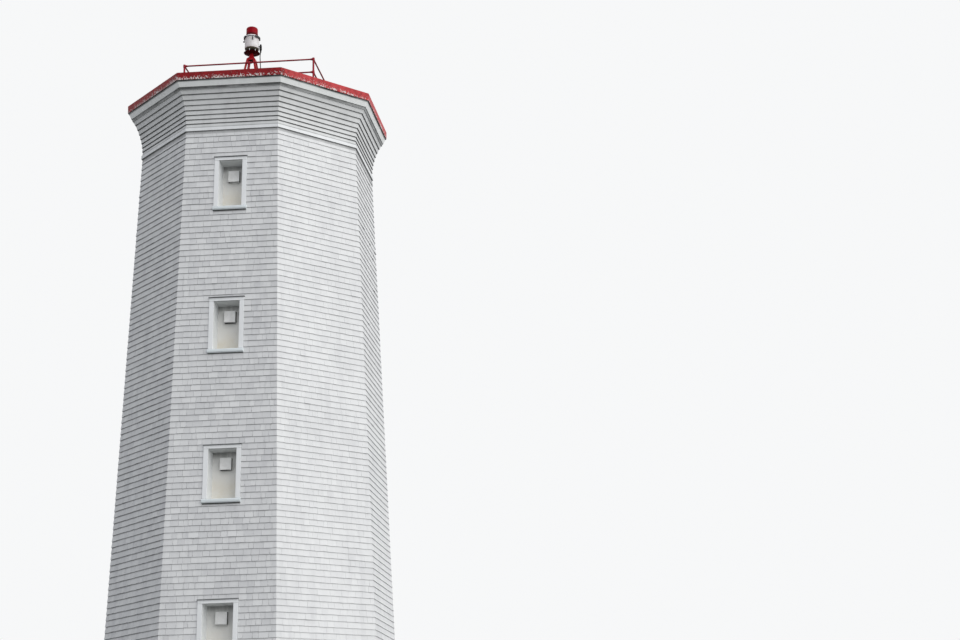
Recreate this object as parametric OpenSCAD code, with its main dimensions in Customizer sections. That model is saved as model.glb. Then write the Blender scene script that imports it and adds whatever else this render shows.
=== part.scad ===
/* [Shaft] */
// Distance across two opposite sheathed faces at the ground
ground_across = 6186; // [5900:1:6600]
// Distance across two opposite sheathed faces at the foot of the cornice
top_across = 4721; // [4500:1:5000]
// Height of the foot of the cornice above the ground
shaft_h = 17500; // [17200:1:18200]
// Thickness of the timber walls
wall_t = 450; // [400:1:550]
// Open joint where two mitred boards meet on a corner of the tower
mitre_gap = 1; // [0.6:0.1:3]

/* [Foundation and floors] */
// Height of the masonry foundation above the ground
foundation_h = 300; // [200:1:400]
// How far the foundation stands out from the sheathing at its top
foundation_ledge = 60; // [40:1:120]
// Thickness of the boards of the ground floor
ground_floor_t = 40; // [25:1:60]
// Thickness of an upper floor with its joists
floor_t = 220; // [160:1:300]
// Height of a window's sill above the floor of its storey
sill_above_floor = 900; // [800:1:1000]
// Clearance between a floor or a deck and what surrounds it
fit_gap = 0.3; // [0.2:0.1:0.8]

/* [Windows] */
// Windows in each column, one to a storey
window_rows = 5; // [2:1:5]
// Height from the head of one window to the next
window_pitch = 3130; // [3000:1:3160]
// Distance from the foot of the cornice down to the head of the top window
window_drop = 632; // [560:1:760]
// Width of the top window's opening
opening_w = 500; // [460:1:560]
// How much wider each window is than the one above it
opening_grow = 40; // [0:1:45]
// Height of a window's opening
opening_h = 1030; // [900:1:1100]
// Width of the side boards of a casing
casing_w = 93; // [80:1:110]
// Height of the head board of a casing
head_h = 73; // [60:1:100]
// Height of a window's sill
sill_h = 90; // [60:1:110]
// How far a casing stands out from the sheathing
casing_t = 34; // [28:1:50]
// How far a sill stands out from the sheathing
sill_out = 62; // [50:1:90]
// How far a sill runs past the casing on each side
sill_ear = 12; // [5:1:30]
// Thickness of the drip cap over a window or the door
drip_t = 14; // [10:1:20]
// How far a drip cap stands out from the sheathing
drip_out = 58; // [45:1:80]
// Depth from the sheathing to the face of the panel that closes a window
recess = 330; // [200:1:350]
// Thickness of the panel that closes a window
panel_t = 30; // [20:1:40]

/* [Vents] */
// Width of the vent hood on a window panel
vent_w = 235; // [180:1:300]
// Height of the vent hood
vent_h = 250; // [200:1:320]
// How far the vent hood stands out at its foot
vent_out = 95; // [60:1:140]
// How far the vent hood stands out at its top
vent_top_out = 88; // [60:1:110]
// Distance from the head of the opening down to the vent hood
vent_drop = 130; // [60:1:180]
// Thickness of the vent hood's sheet walls
vent_wall = 6; // [4:1:10]

/* [Door] */
// Width of the entrance door
door_w = 900; // [800:1:1000]
// Height of the entrance door
door_h = 2020; // [1900:1:2060]
// Thickness of the entrance door
door_t = 45; // [38:1:60]
// Depth from the sheathing to the face of the door
door_recess = 120; // [60:1:200]
// Thickness of the door's frame
door_frame_t = 40; // [30:1:60]
// Number of upright boards in the door
door_boards = 6; // [4:1:8]
// Width of the grooves between the door's boards
door_groove = 8; // [4:1:12]
// Diameter of the door's knob
knob_d = 54; // [46:1:64]
// How far the knob stands out from the door
knob_out = 62; // [50:1:75]
// Height of the knob above the threshold
knob_z = 1000; // [900:1:1100]
// Distance from the edge of the door to the knob
knob_in = 75; // [60:1:95]
// Height of one step outside the door
step_h = 150; // [120:1:190]
// Depth of the step outside the door
step_d = 420; // [350:1:600]
// Width of the step outside the door
step_w = 1300; // [1100:1:1600]

/* [Cornice] */
// Height of the flat board at the foot of the cornice
trim_h = 80; // [50:1:110]
// How far that board stands out from the sheathing
trim_out = 38; // [30:1:50]
// Radius of the cove that the lapped clapboards follow
cove_r = 1640; // [1500:1:1800]
// How far the lip of the lowest clapboard stands out from the sheathing
clap_out = 26; // [26:1:30]
// Number of lapped clapboards
clap_count = 8; // [4:1:8]
// Height of the lowest clapboard that shows
clap_first = 91; // [85:1:95]
// How much higher each clapboard is than the one below it
clap_grow = 3; // [1:0.5:4]
// Thickness of a clapboard's lip
clap_lip = 20; // [10:1:20]
// Thickness of the lapped boards from lip to back
clap_t = 25; // [23:1:25]
// Height of the bed moulding between the clapboards and the frieze board
bed_h = 50; // [40:1:60]
// How far the bed moulding laps down over the top clapboard
bed_lap = 25; // [15:1:30]
// How far the foot of the bed moulding stands out from the cove
bed_lip = 8; // [4:1:12]
// How far the bed moulding leans out over its height
bed_lean = 13; // [8:1:20]
// How far the frieze board stands out from the bed moulding
frieze_lip = 13; // [8:1:20]
// Height of the frieze board
frieze_h = 133; // [110:1:160]
// How far the frieze board leans out over its height
frieze_lean = 50; // [35:1:65]
// Thickness of the frieze board at its top
frieze_t = 45; // [30:1:60]
// Height of the red fascia
fascia_h = 170; // [140:1:200]
// Thickness of the red fascia
fascia_t = 36; // [32:1:50]
// How far the red fascia stands out from the head of the frieze board
fascia_over = 24; // [15:1:30]
// How far the top edge of the fascia stands above the deck
fascia_rise = 15; // [8:1:30]

/* [Railing] */
// Half the length of the railing, from side to side
rail_x = 1450; // [1300:1:1600]
// Half the depth of the railing, from front to back
rail_y = 1080; // [950:1:1200]
// Height of the top rail's centre above the deck
rail_top = 915; // [850:1:1050]
// Number of rails
rail_count = 3; // [2:1:3]
// Diameter of a post
post_d = 42.4; // [38:0.1:50]
// Diameter of a rail
rail_d = 33.7; // [26:0.1:36]
// Diameter of the fittings that join rails to posts
fitting_d = 56; // [52:1:70]
// Length of a fitting's socket, measured from the post's centre
socket_reach = 62; // [50:1:80]
// Diameter of a post's floor flange
flange_d = 120; // [100:1:150]
// Thickness of a post's floor flange
flange_t = 10; // [8:1:14]

/* [Hatch] */
// Side of the square access hatch in the deck
hatch_side = 760; // [650:1:800]
// Height of the hatch's kerb
hatch_kerb_h = 110; // [80:1:160]
// Thickness of the hatch's lid
hatch_lid_t = 40; // [25:1:60]
// How far the lid runs past the kerb
hatch_lid_lap = 25; // [15:1:40]

/* [Beacon stand] */
// Place of the beacon left or right of the tower's axis
beacon_x = -75; // [-100:1:40]
// Place of the beacon in front of or behind the tower's axis
beacon_y = -550; // [-600:1:-480]
// Height of the stand above the deck
stand_h = 1385; // [1250:1:1500]
// Distance from the stand's axis to a leg's corner at the deck, along each side
stand_foot = 312; // [280:1:340]
// Half the width of the stand at its shoulder
stand_shoulder = 94; // [85:1:110]
// Half the width of the stand's neck at the top
stand_neck = 28; // [22:1:36]
// Half the width of the stand's neck at its foot
neck_foot = 50; // [42:1:60]
// Height of the stand's neck
neck_h = 95; // [80:1:110]
// Depth of the shoulder's top edge below the top of the stand
shoulder_drop = 155; // [130:1:170]
// Height of the shoulder's plates
shoulder_h = 32; // [25:1:45]
// Width of a leg's angle section
leg_w = 48; // [40:1:55]
// Thickness of the stand's plates
plate_t = 10; // [8:1:12]
// Side of a leg's foot plate
foot_side = 160; // [140:1:180]

/* [Beacon] */
// Diameter of the round top plate of the stand
disc_d = 357; // [340:1:370]
// Thickness of the round plate with its bevelled rim
disc_rim = 10; // [9:1:14]
// Height of the square edge above that bevel
disc_t = 6; // [4:1:8]
// Number of levelling studs under the beacon
stud_count = 6; // [3:1:8]
// Diameter of a levelling stud
stud_d = 16; // [12:1:20]
// Height of the levelling studs
stud_h = 54; // [44:1:64]
// Turn of the studs about the beacon's axis
stud_turn = 21; // [0:1:60]
// Diameter of the beacon's bronze base
base_d = 282; // [260:1:300]
// Height of the beacon's base
base_h = 44; // [36:1:60]
// Bevel round the foot of the base
base_bevel = 6; // [3:1:9]
// Diameter of the drum
drum_d = 316; // [300:1:330]
// Height of the drum
drum_h = 252; // [220:1:300]
// Diameter of the clamp ring
clamp_d = 340; // [332:1:350]
// Height of the clamp ring
clamp_h = 22; // [16:1:30]
// Diameter of the white shoulder at its foot
collar_d = 300; // [280:1:310]
// Height of the white shoulder
collar_h = 32; // [24:1:75]
// Diameter of the red cap
cap_d = 262; // [240:1:270]
// Height of the red cap
cap_h = 208; // [180:1:260]
// Radius of the red cap's top edge
cap_edge = 45; // [25:1:70]
// Wall of the drum and the cap
shell_t = 8; // [5:1:12]
// Thickness of the two curved shoes on the clamp ring
shoe_t = 14; // [10:1:18]
// How far the shoes hang below the clamp ring
shoe_drop = 24; // [16:1:32]
// Half the angle that a shoe covers
shoe_half = 40; // [25:1:44]
// Turn of the shoes from the sides towards the front
shoe_turn = 12; // [0:1:20]
// Width of the latch that hangs from the clamp ring
latch_w = 26; // [20:1:32]
// Length of that latch
latch_l = 60; // [45:1:75]
// Turn of that latch from the front towards the right
latch_turn = 20; // [0:1:60]
// Diameter of the knob on the left of the drum
side_knob_d = 32; // [24:1:40]
// How far that knob stands out
side_knob_l = 44; // [30:1:55]
// Height of that knob above the foot of the drum
side_knob_z = 183; // [120:1:190]

/* [Cable] */
// Diameter of the supply cable
cable_d = 20; // [18:1:22]
// Diameter of the plug at the head of the cable
plug_d = 46; // [40:1:48]
// Length of the plug
plug_l = 155; // [130:1:190]
// Diameter of the gland in the deck
gland_d = 64; // [50:1:80]
// Height of the gland in the deck
gland_h = 45; // [35:1:60]

/* [Hidden] */

// Sides of the tower
sides = 8;
turn = 360 / sides;
half_turn = turn / 2;
// Side numbers, counted to the right round the tower from the front
front = 0;
front_right = 1;
right = 2;
back_right = 3;
back = 4;
back_left = 5;
left = 6;
front_left = 7;

// Lean of the walls, and the distance from the axis to the sheathing at a height
batter_run = (ground_across - top_across) / 2 / shaft_h;
batter = atan(batter_run);
function face(height) = ground_across / 2 - batter_run * height;

// Reach of a cut or wedge that has to pass right through what it cuts
past = 50;
wide = ground_across * 2;

// Heights that the cornice gives to the deck
function lap(i) = i * clap_first + clap_grow * i * (i - 1) / 2;
cove_foot = shaft_h + trim_h;
cove_axis = face(cove_foot) + clap_out + cove_r;
function cove(height, inset) =
    let (lean = asin(height / cove_r))
    [cove_axis - (cove_r + inset) * cos(lean), cove_foot + (cove_r + inset) * sin(lean)];
// The top clapboard's face runs from its lip to its head, and the bed moulding seats on it
top_lip = cove(lap(clap_count - 1), 0);
top_head = cove(lap(clap_count), clap_lip);
function on_top_board(height) =
    top_lip + (top_head - top_lip) * (height - top_lip[1]) / (top_head[1] - top_lip[1]);
bed_foot = cove(lap(clap_count) - bed_lap, -bed_lip);
bed_top = bed_foot + [bed_lean, bed_h];
bed_back = [top_head[0], bed_top[1]];
frieze_foot = bed_top + [frieze_lip, 0];
frieze_top = frieze_foot + [frieze_lean, frieze_h];
deck_z = frieze_top[1];
fascia_out = frieze_top[0] + fascia_over;
deck_apothem = fascia_out - fascia_t - fit_gap;
deck_t = fascia_h - fascia_rise;
deck_top = deck_z + deck_t;

// Windows, counted down from the top one
outer_h = head_h + opening_h + sill_h;
function opening(i) = opening_w + i * opening_grow;
function outer(i) = opening(i) + 2 * casing_w;
function window_head(i) = shaft_h - window_drop - i * window_pitch;
function storey_floor(i) = window_head(i) - outer_h + sill_h - sill_above_floor;
board_joint = 1;

// Wall faces stand on the foundation
door_sill_z = foundation_h + ground_floor_t;

// Beacon heights above the deck
disc_z = deck_top + stand_h;
stud_z = disc_z + disc_rim;
base_z = stud_z + stud_h;
drum_z = base_z + base_h;
clamp_z = drum_z + drum_h;
collar_z = clamp_z + clamp_h;
cap_z = collar_z + collar_h;
stud_ring = base_d / 2 - base_bevel - stud_d / 2;

// Cable route beside the beacon, as [distance from the stand's axis, height above the deck]
cable_route = [
    [200, 1445], [199, 1420], [197, 1390], [193, 1360], [190, 1330], [189, 1300], [190, 1260],
    [192, 1220], [195, 1160], [199, 1090], [203, 1010], [207, 920], [209, 820], [210, 700],
    [209, 560], [207, 420], [204, 280], [202, 160], [201, 100], [200, 45]
];
cable_head = cable_route[0];
cable_foot = cable_route[len(cable_route) - 1];
cable_sides = 10;

// Vertical wedge over one side of the octagon, its faces half a gap inside the planes through the corners
module sector(gap) {
    apex = gap / 2 / sin(half_turn);
    spread = wide * tan(half_turn);
    linear_extrude(height = deck_top + wide)
        polygon([[0, -apex], [-spread, -apex - wide], [spread, -apex - wide]]);
}

// Carries a section across one side and mitres both its ends. A section's points are
// [distance from the tower's axis, height above the ground]
module mitred(section, side, gap) {
    rotate([0, 0, turn * side])
        intersection() {
            rotate([90, 0, -90])
                linear_extrude(height = wide, center = true)
                    polygon(section);
            sector(gap);
        }
}

// The same section on all the sides
module all_round(section) {
    for (side = [0 : sides - 1])
        mitred(section, side, mitre_gap);
}

// Octagonal slab with a flat side to the front
module octagon(apothem, low, height) {
    translate([0, 0, low])
        linear_extrude(height = height)
            rotate([0, 0, half_turn])
                circle(r = apothem / cos(half_turn), $fn = sides);
}

// Places its children on a sheathed face: x runs to the right seen from outside, y goes into the wall
// and z runs up the face
module on_face(side, height) {
    rotate([0, 0, turn * side])
        translate([0, -face(height), height])
            rotate([-batter, 0, 0])
                children();
}

// Box on a face, from its low corner to its high corner
module block(low, high) {
    translate(low)
        cube(high - low);
}

// Leaning wall of one side, mitred to its neighbours
module plain_wall(side) {
    thick = wall_t / cos(batter);
    mitred([
        [face(foundation_h), foundation_h],
        [face(deck_z), deck_z],
        [face(deck_z) - thick, deck_z],
        [face(foundation_h) - thick, foundation_h]
    ], side, 0);
}

// Holes for a column of windows
module window_holes(side) {
    for (i = [0 : window_rows - 1])
        on_face(side, window_head(i))
            block([-opening(i) / 2, -past, -head_h - opening_h], [opening(i) / 2, wall_t + past, -head_h]);
}

module foundation() {
    color("darkgray")
        octagon(face(foundation_h) + foundation_ledge, 0, foundation_h);
}

module ground_floor() {
    color("burlywood")
        octagon(face(foundation_h + ground_floor_t) - wall_t / cos(batter) - fit_gap,
            foundation_h, ground_floor_t);
}

module upper_floors() {
    color("burlywood")
        for (i = [0 : window_rows - 2])
            octagon(face(storey_floor(i)) - wall_t / cos(batter) - fit_gap,
                storey_floor(i) - floor_t, floor_t);
}

module front_wall() {
    color("lightgray")
        difference() {
            plain_wall(front);
            window_holes(front);
        }
}

module back_wall() {
    color("lightgray")
        difference() {
            plain_wall(back);
            window_holes(back);
            on_face(back, door_sill_z)
                block([-door_w / 2 - door_frame_t, -past, 0],
                    [door_w / 2 + door_frame_t, wall_t + past, door_h + door_frame_t]);
        }
}

module front_right_wall() {
    color("whitesmoke")
        plain_wall(front_right);
}

module right_wall() {
    color("gainsboro")
        plain_wall(right);
}

module back_right_wall() {
    color("lightgray")
        plain_wall(back_right);
}

module back_left_wall() {
    color("lightgray")
        plain_wall(back_left);
}

module left_wall() {
    color("lightgray")
        plain_wall(left);
}

module front_left_wall() {
    color("silver")
        plain_wall(front_left);
}

// Two side boards and a head board round each window of a column
module casings(side) {
    for (i = [0 : window_rows - 1])
        on_face(side, window_head(i)) {
            block([-outer(i) / 2, -casing_t, -head_h], [outer(i) / 2, 0, 0]);
            for (x = [-outer(i) / 2, opening(i) / 2])
                block([x, -casing_t, board_joint - head_h - opening_h],
                    [x + casing_w, 0, -head_h - board_joint]);
        }
}

// Weathered sill under each window of a column, sloped on top to shed rain
module sills(side) {
    slope = sill_h * 0.25;
    for (i = [0 : window_rows - 1])
        on_face(side, window_head(i))
            translate([0, 0, -outer_h])
                rotate([90, 0, 90])
                    linear_extrude(height = outer(i) + 2 * sill_ear, center = true)
                        polygon([[0, 0], [0, sill_h], [-casing_t, sill_h], [-sill_out, sill_h - slope],
                            [-sill_out, slope], [-casing_t, 0]]);
}

module panels(side) {
    for (i = [0 : window_rows - 1])
        on_face(side, window_head(i))
            block([-opening(i) / 2, recess, -head_h - opening_h],
                [opening(i) / 2, recess + panel_t, -head_h]);
}

// Sheet-metal hood with a sloped face, open underneath
module vents(side) {
    top = -head_h - vent_drop;
    for (i = [0 : window_rows - 1])
        on_face(side, window_head(i))
            translate([0, recess, top])
                difference() {
                    rotate([90, 0, 90])
                        linear_extrude(height = vent_w, center = true)
                            polygon([[0, 0], [-vent_top_out, 0], [-vent_out, -vent_h], [0, -vent_h]]);
                    rotate([90, 0, 90])
                        linear_extrude(height = vent_w - 2 * vent_wall, center = true)
                            polygon([[-vent_wall, -vent_wall], [-vent_top_out + vent_wall, -vent_wall],
                                [-vent_out + vent_wall, -vent_h - past], [-vent_wall, -vent_h - past]]);
                }
}

module front_casings() {
    color("white")
        casings(front);
}

module front_sills() {
    color("white")
        sills(front);
}

module front_panels() {
    color("ivory")
        panels(front);
}

module front_vents() {
    color("lightgray")
        vents(front);
}

module back_casings() {
    color("white")
        casings(back);
}

module back_sills() {
    color("white")
        sills(back);
}

module back_panels() {
    color("ivory")
        panels(back);
}

module back_vents() {
    color("lightgray")
        vents(back);
}

// Thin cap on a head board of a given width
module drip_cap(width) {
    half = width / 2 + sill_ear;
    block([-half, -drip_out, 0], [half, 0, drip_t]);
}

// Drip caps over all the windows and the door
module drip_caps() {
    color("white") {
        for (side = [front, back])
            for (i = [0 : window_rows - 1])
                on_face(side, window_head(i))
                    drip_cap(outer(i));
        on_face(back, door_sill_z)
            translate([0, 0, door_h + head_h])
                drip_cap(door_w + 2 * casing_w);
    }
}

// Doorway lined with L-shaped jambs, which carry the casing on the sheathing, under a head of the same form
// and over a threshold
module door_frame() {
    half = door_w / 2;
    depth = door_recess + door_t + door_frame_t;
    jamb = [
        [half, -casing_t], [half + casing_w, -casing_t], [half + casing_w, 0],
        [half + door_frame_t, 0], [half + door_frame_t, depth], [half, depth]
    ];
    color("white")
        on_face(back, door_sill_z) {
            for (way = [-1, 1])
                linear_extrude(height = door_h)
                    polygon([for (p = jamb) [way * p[0], p[1]]]);
            block([-half - door_frame_t, -casing_t, door_h],
                [half + door_frame_t, depth, door_h + door_frame_t]);
            block([-half - casing_w, -casing_t, door_h], [half + casing_w, 0, door_h + head_h]);
            block([-half - casing_w - sill_ear, -sill_out, -ground_floor_t],
                [half + casing_w + sill_ear, 0, 0]);
        }
}

// Turned knob with its rose, out from a door's face
module knob() {
    rotate([90, 0, 0])
        rotate_extrude($fn = 32)
            polygon([
                [0, 0], [knob_d / 2, 0], [knob_d / 2, knob_out * 0.1], [knob_d * 0.18, knob_out * 0.14],
                [knob_d * 0.18, knob_out * 0.5], [knob_d * 0.44, knob_out * 0.6],
                [knob_d / 2, knob_out * 0.76], [knob_d * 0.4, knob_out * 0.94], [0, knob_out]
            ]);
}

// Door of upright boards with a groove at each joint
module entrance_door() {
    half = door_w / 2 - fit_gap;
    board = 2 * half / door_boards;
    grooves = [for (i = [1 : door_boards - 1], step = [-1, 0, 1])
        [i * board - half + step * door_groove / 2, step == 0 ? door_groove / 2 : 0]];
    color("firebrick")
        on_face(back, door_sill_z)
            translate([0, door_recess, 0]) {
                translate([0, 0, fit_gap])
                    linear_extrude(height = door_h - 2 * fit_gap)
                        polygon(concat([[-half, door_t], [-half, 0]], grooves, [[half, 0], [half, door_t]]));
                translate([half - knob_in, 0, knob_z])
                    knob();
            }
}

module entrance_step() {
    edge = face(foundation_h) + foundation_ledge;
    color("darkgray")
        translate([-step_w / 2, edge, 0])
            cube([step_w, step_d, step_h]);
}

module cornice_trim() {
    color("white")
        all_round([
            [face(shaft_h), shaft_h],
            [face(shaft_h) + trim_out, shaft_h],
            [face(cove_foot) + trim_out, cove_foot],
            [face(cove_foot), cove_foot]
        ]);
}

// Blocking behind the clapboards, from the sheathing out to the backs of the boards
module cornice_core() {
    color("tan")
        all_round(concat(
            [[face(cove_foot), cove_foot]],
            [for (i = [0 : clap_count]) cove(lap(i), clap_t)],
            [top_head, bed_back, [frieze_top[0] - frieze_t, deck_z], [face(deck_z), deck_z]]
        ));
}

// Lapped clapboards on the cove: each lip stands out over the head of the board below it
module cornice_clapboards() {
    color("whitesmoke")
        all_round(concat(
            [for (i = [0 : clap_count - 1], edge = [cove(lap(i), clap_lip), cove(lap(i), 0)]) edge],
            [top_head],
            [for (i = [clap_count : -1 : 0]) cove(lap(i), clap_t)]
        ));
}

// Narrow moulding that covers the head of the top clapboard and carries the foot of the frieze board
module bed_mould() {
    color("white")
        all_round([bed_foot, bed_top, bed_back, top_head, on_top_board(bed_foot[1])]);
}

module frieze_boards() {
    color("white")
        all_round([frieze_foot, frieze_top, [frieze_top[0] - frieze_t, deck_z], bed_back]);
}

module red_fascia() {
    color("firebrick")
        all_round([
            [fascia_out, deck_z],
            [fascia_out, deck_z + fascia_h],
            [fascia_out - fascia_t, deck_z + fascia_h],
            [fascia_out - fascia_t, deck_z]
        ]);
}

module roof_deck() {
    color("darkred")
        octagon(deck_apothem, deck_z, deck_t);
}

// Height of a rail's centre above the deck
function rail_height(i) = rail_top * (rail_count - i) / rail_count;

// Post with its floor flange and a fitting at each rail; sockets is a list of directions in degrees
module post(sockets) {
    cylinder(d = post_d, h = rail_top, $fn = 32);
    cylinder(d = flange_d, h = flange_t, $fn = 32);
    for (i = [0 : rail_count - 1])
        translate([0, 0, rail_height(i)]) {
            cylinder(d = fitting_d, h = fitting_d * 1.2, center = true, $fn = 32);
            for (direction = sockets)
                rotate([0, 90, direction])
                    cylinder(d = fitting_d * 0.84, h = socket_reach, $fn = 32);
        }
}

module railing_posts() {
    color("firebrick") {
        for (x = [-1, 1], y = [-1, 1])
            translate([x * rail_x, y * rail_y, deck_top])
                post([x > 0 ? 180 : 0, y > 0 ? -90 : 90]);
        for (y = [-1, 1])
            translate([0, y * rail_y, deck_top])
                post([0, 180]);
    }
}

// Straight pipes between the sockets of two posts
module railing_rails() {
    run_x = rail_x - 2 * socket_reach;
    run_y = 2 * rail_y - 2 * socket_reach;
    color("firebrick")
        for (i = [0 : rail_count - 1])
            translate([0, 0, deck_top + rail_height(i)]) {
                for (x = [-1, 1], y = [-1, 1])
                    translate([x * rail_x / 2, y * rail_y, 0])
                        rotate([0, 90, 0])
                            cylinder(d = rail_d, h = run_x, center = true, $fn = 32);
                for (x = [-1, 1])
                    translate([x * rail_x, 0, 0])
                        rotate([90, 0, 0])
                            cylinder(d = rail_d, h = run_y, center = true, $fn = 32);
            }
}

// Low hatch between the beacon and the left end of the railing
module roof_hatch() {
    kerb = hatch_side - 2 * hatch_lid_lap;
    color("firebrick")
        translate([-rail_x / 2, rail_y / 2 - flange_d / 2, deck_top]) {
            translate([-kerb / 2, -kerb / 2, 0])
                cube([kerb, kerb, hatch_kerb_h]);
            translate([-hatch_side / 2, -hatch_side / 2, hatch_kerb_h])
                cube([hatch_side, hatch_side, hatch_lid_t]);
        }
}

// Moves its children to the stand's axis at a height above the ground
module on_stand(height) {
    translate([beacon_x, beacon_y, height])
        children();
}

// Angle section leg that leans in from its foot to the shoulder
module stand_leg() {
    rise = stand_h - shoulder_drop;
    run = stand_foot - stand_shoulder;
    lean = atan(run * sqrt(2) / rise);
    long = rise / cos(lean) + 2 * leg_w;
    intersection() {
        translate([stand_foot, stand_foot, 0])
            rotate([0, 0, 45])
                rotate([0, -lean, 0])
                    translate([0, 0, -leg_w])
                        rotate([0, 0, 135])
                            linear_extrude(height = long)
                                polygon([[0, 0], [leg_w, 0], [leg_w, plate_t], [plate_t, plate_t],
                                    [plate_t, leg_w], [0, leg_w]]);
        translate([0, 0, plate_t])
            cube([wide, wide, rise - plate_t]);
    }
}

// Four leaning legs under a plated shoulder that flares out of a tapered neck
module beacon_stand() {
    rise = stand_h - shoulder_drop;
    color("firebrick")
        on_stand(deck_top) {
            for (quarter = [0 : 3])
                rotate([0, 0, 90 * quarter]) {
                    stand_leg();
                    translate([stand_foot - foot_side * 0.75, stand_foot - foot_side * 0.75, 0])
                        cube([foot_side, foot_side, plate_t]);
                }
            translate([0, 0, rise - shoulder_h])
                difference() {
                    translate([-stand_shoulder, -stand_shoulder, 0])
                        cube([2 * stand_shoulder, 2 * stand_shoulder, shoulder_h]);
                    translate([-stand_shoulder + plate_t, -stand_shoulder + plate_t, -plate_t])
                        cube([2 * (stand_shoulder - plate_t), 2 * (stand_shoulder - plate_t), shoulder_h]);
                }
            intersection_for (spin = [0, 90])
                rotate([90, 0, spin])
                    linear_extrude(height = wide, center = true)
                        polygon([[-stand_shoulder, rise], [stand_shoulder, rise],
                            [neck_foot, stand_h - neck_h], [stand_neck, stand_h],
                            [-stand_neck, stand_h], [-neck_foot, stand_h - neck_h]]);
        }
}

// Round plate with a bevelled rim, which carries the beacon
module beacon_disc() {
    color("darkred")
        on_stand(disc_z)
            rotate_extrude($fn = 72)
                polygon([[0, 0], [disc_d / 2 - disc_rim, 0], [disc_d / 2, disc_rim - disc_t],
                    [disc_d / 2, disc_rim], [0, disc_rim]]);
}

// Threaded studs between the plate and the base, each with a nut at its foot and one under the base
module levelling_studs() {
    nut_h = stud_d * 0.9;
    color("silver")
        on_stand(stud_z)
            for (i = [0 : stud_count - 1])
                rotate([0, 0, stud_turn + 360 * i / stud_count])
                    translate([stud_ring, 0, 0]) {
                        cylinder(d = stud_d, h = stud_h, $fn = 24);
                        for (low = [0, stud_h - nut_h])
                            translate([0, 0, low])
                                cylinder(d = stud_d * 1.75, h = nut_h, $fn = 6);
                    }
}

module beacon_base() {
    color("darkolivegreen")
        on_stand(base_z)
            rotate_extrude($fn = 72)
                polygon([[0, 0], [base_d / 2 - base_bevel, 0], [base_d / 2, base_bevel],
                    [base_d / 2, base_h], [0, base_h]]);
}

module beacon_drum() {
    color("whitesmoke")
        on_stand(drum_z)
            rotate_extrude($fn = 72)
                polygon([[0, 0], [drum_d / 2 - shell_t, 0], [drum_d / 2, shell_t], [drum_d / 2, drum_h],
                    [drum_d / 2 - shell_t, drum_h], [drum_d / 2 - shell_t, shell_t], [0, shell_t]]);
}

module clamp_ring() {
    inner = drum_d / 2 - shell_t;
    color("gray")
        on_stand(clamp_z)
            rotate_extrude($fn = 72)
                polygon([[inner, 0], [clamp_d / 2, 0], [clamp_d / 2, clamp_h], [inner, clamp_h]]);
}

module beacon_collar() {
    color("whitesmoke")
        on_stand(collar_z)
            rotate_extrude($fn = 72)
                polygon([[cap_d / 2 - shell_t, 0], [collar_d / 2 + clamp_h / 2, 0],
                    [collar_d / 2, clamp_h / 2], [cap_d / 2 + shell_t, collar_h],
                    [cap_d / 2 - shell_t, collar_h]]);
}

// Red cap with a rounded top edge
module beacon_cap() {
    centre = [cap_d / 2 - cap_edge, cap_h - cap_edge];
    color("crimson")
        on_stand(cap_z)
            rotate_extrude($fn = 72)
                polygon(concat(
                    [[0, cap_h - shell_t], [0, cap_h]],
                    [for (a = [90 : -10 : 0]) centre + cap_edge * [cos(a), sin(a)]],
                    [[cap_d / 2, 0], [cap_d / 2 - shell_t, 0]],
                    [for (a = [0 : 10 : 90]) centre + (cap_edge - shell_t) * [cos(a), sin(a)]]
                ));
}

// Curved shoe that hugs the clamp ring on the right
module clamp_shoe() {
    reach = wide * tan(shoe_half);
    intersection() {
        translate([0, 0, -shoe_drop])
            rotate_extrude($fn = 72)
                translate([clamp_d / 2, 0])
                    square([shoe_t, shoe_drop + clamp_h]);
        linear_extrude(height = wide, center = true)
            polygon([[0, 0], [wide, -reach], [wide, reach]]);
    }
}

// Shoes of the clamp ring left and right, the latch in front of the drum and the knob on its left
module beacon_latches() {
    color("dimgray") {
        on_stand(clamp_z) {
            for (way = [-shoe_turn, 180 + shoe_turn])
                rotate([0, 0, way])
                    clamp_shoe();
            rotate([0, 0, latch_turn])
                translate([-latch_w / 2, -clamp_d / 2, -latch_l])
                    cube([latch_w, (clamp_d - drum_d) / 2, latch_l]);
        }
        on_stand(drum_z + side_knob_z)
            translate([-drum_d / 2, 0, 0])
                rotate([0, -90, 0]) {
                    cylinder(d = side_knob_d * 0.6, h = side_knob_l, $fn = 24);
                    translate([0, 0, side_knob_l / 2])
                        cylinder(d = side_knob_d, h = side_knob_l / 2, $fn = 32);
                }
    }
}

// Plug that narrows to the cable below and to its top, screwed to a bracket on the right of the drum
module cable_plug() {
    head_z = deck_top + cable_head[1];
    color("black") {
        on_stand(head_z)
            translate([cable_head[0], 0, 0])
                rotate_extrude($fn = 48)
                    polygon([
                        [0, 0], [cable_d / 2 + 2, 0], [plug_d * 0.41, plug_l * 0.27],
                        [plug_d / 2, plug_l * 0.35], [plug_d / 2, plug_l * 0.75],
                        [plug_d * 0.37, plug_l * 0.82], [plug_d * 0.3, plug_l], [0, plug_l]
                    ]);
        on_stand(head_z + plug_l * 0.6)
            translate([drum_d / 2, -plug_d / 4, 0])
                cube([cable_head[0] - drum_d / 2, plug_d / 2, plug_d / 2]);
    }
}

// Ring of points across the cable at one of its route's points, flat at both ends
function ring(i) =
    let (
        last = len(cable_route) - 1,
        before = cable_route[max(i - 1, 0)],
        after = cable_route[min(i + 1, last)],
        lean = i == 0 || i == last ? 0 : atan2(after[0] - before[0], before[1] - after[1])
    )
    [for (k = [0 : cable_sides - 1])
        let (a = 360 * k / cable_sides, out = cable_d / 2 * cos(a))
        [cable_route[i][0] + out * cos(lean), cable_d / 2 * sin(a), cable_route[i][1] + out * sin(lean)]];

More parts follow.
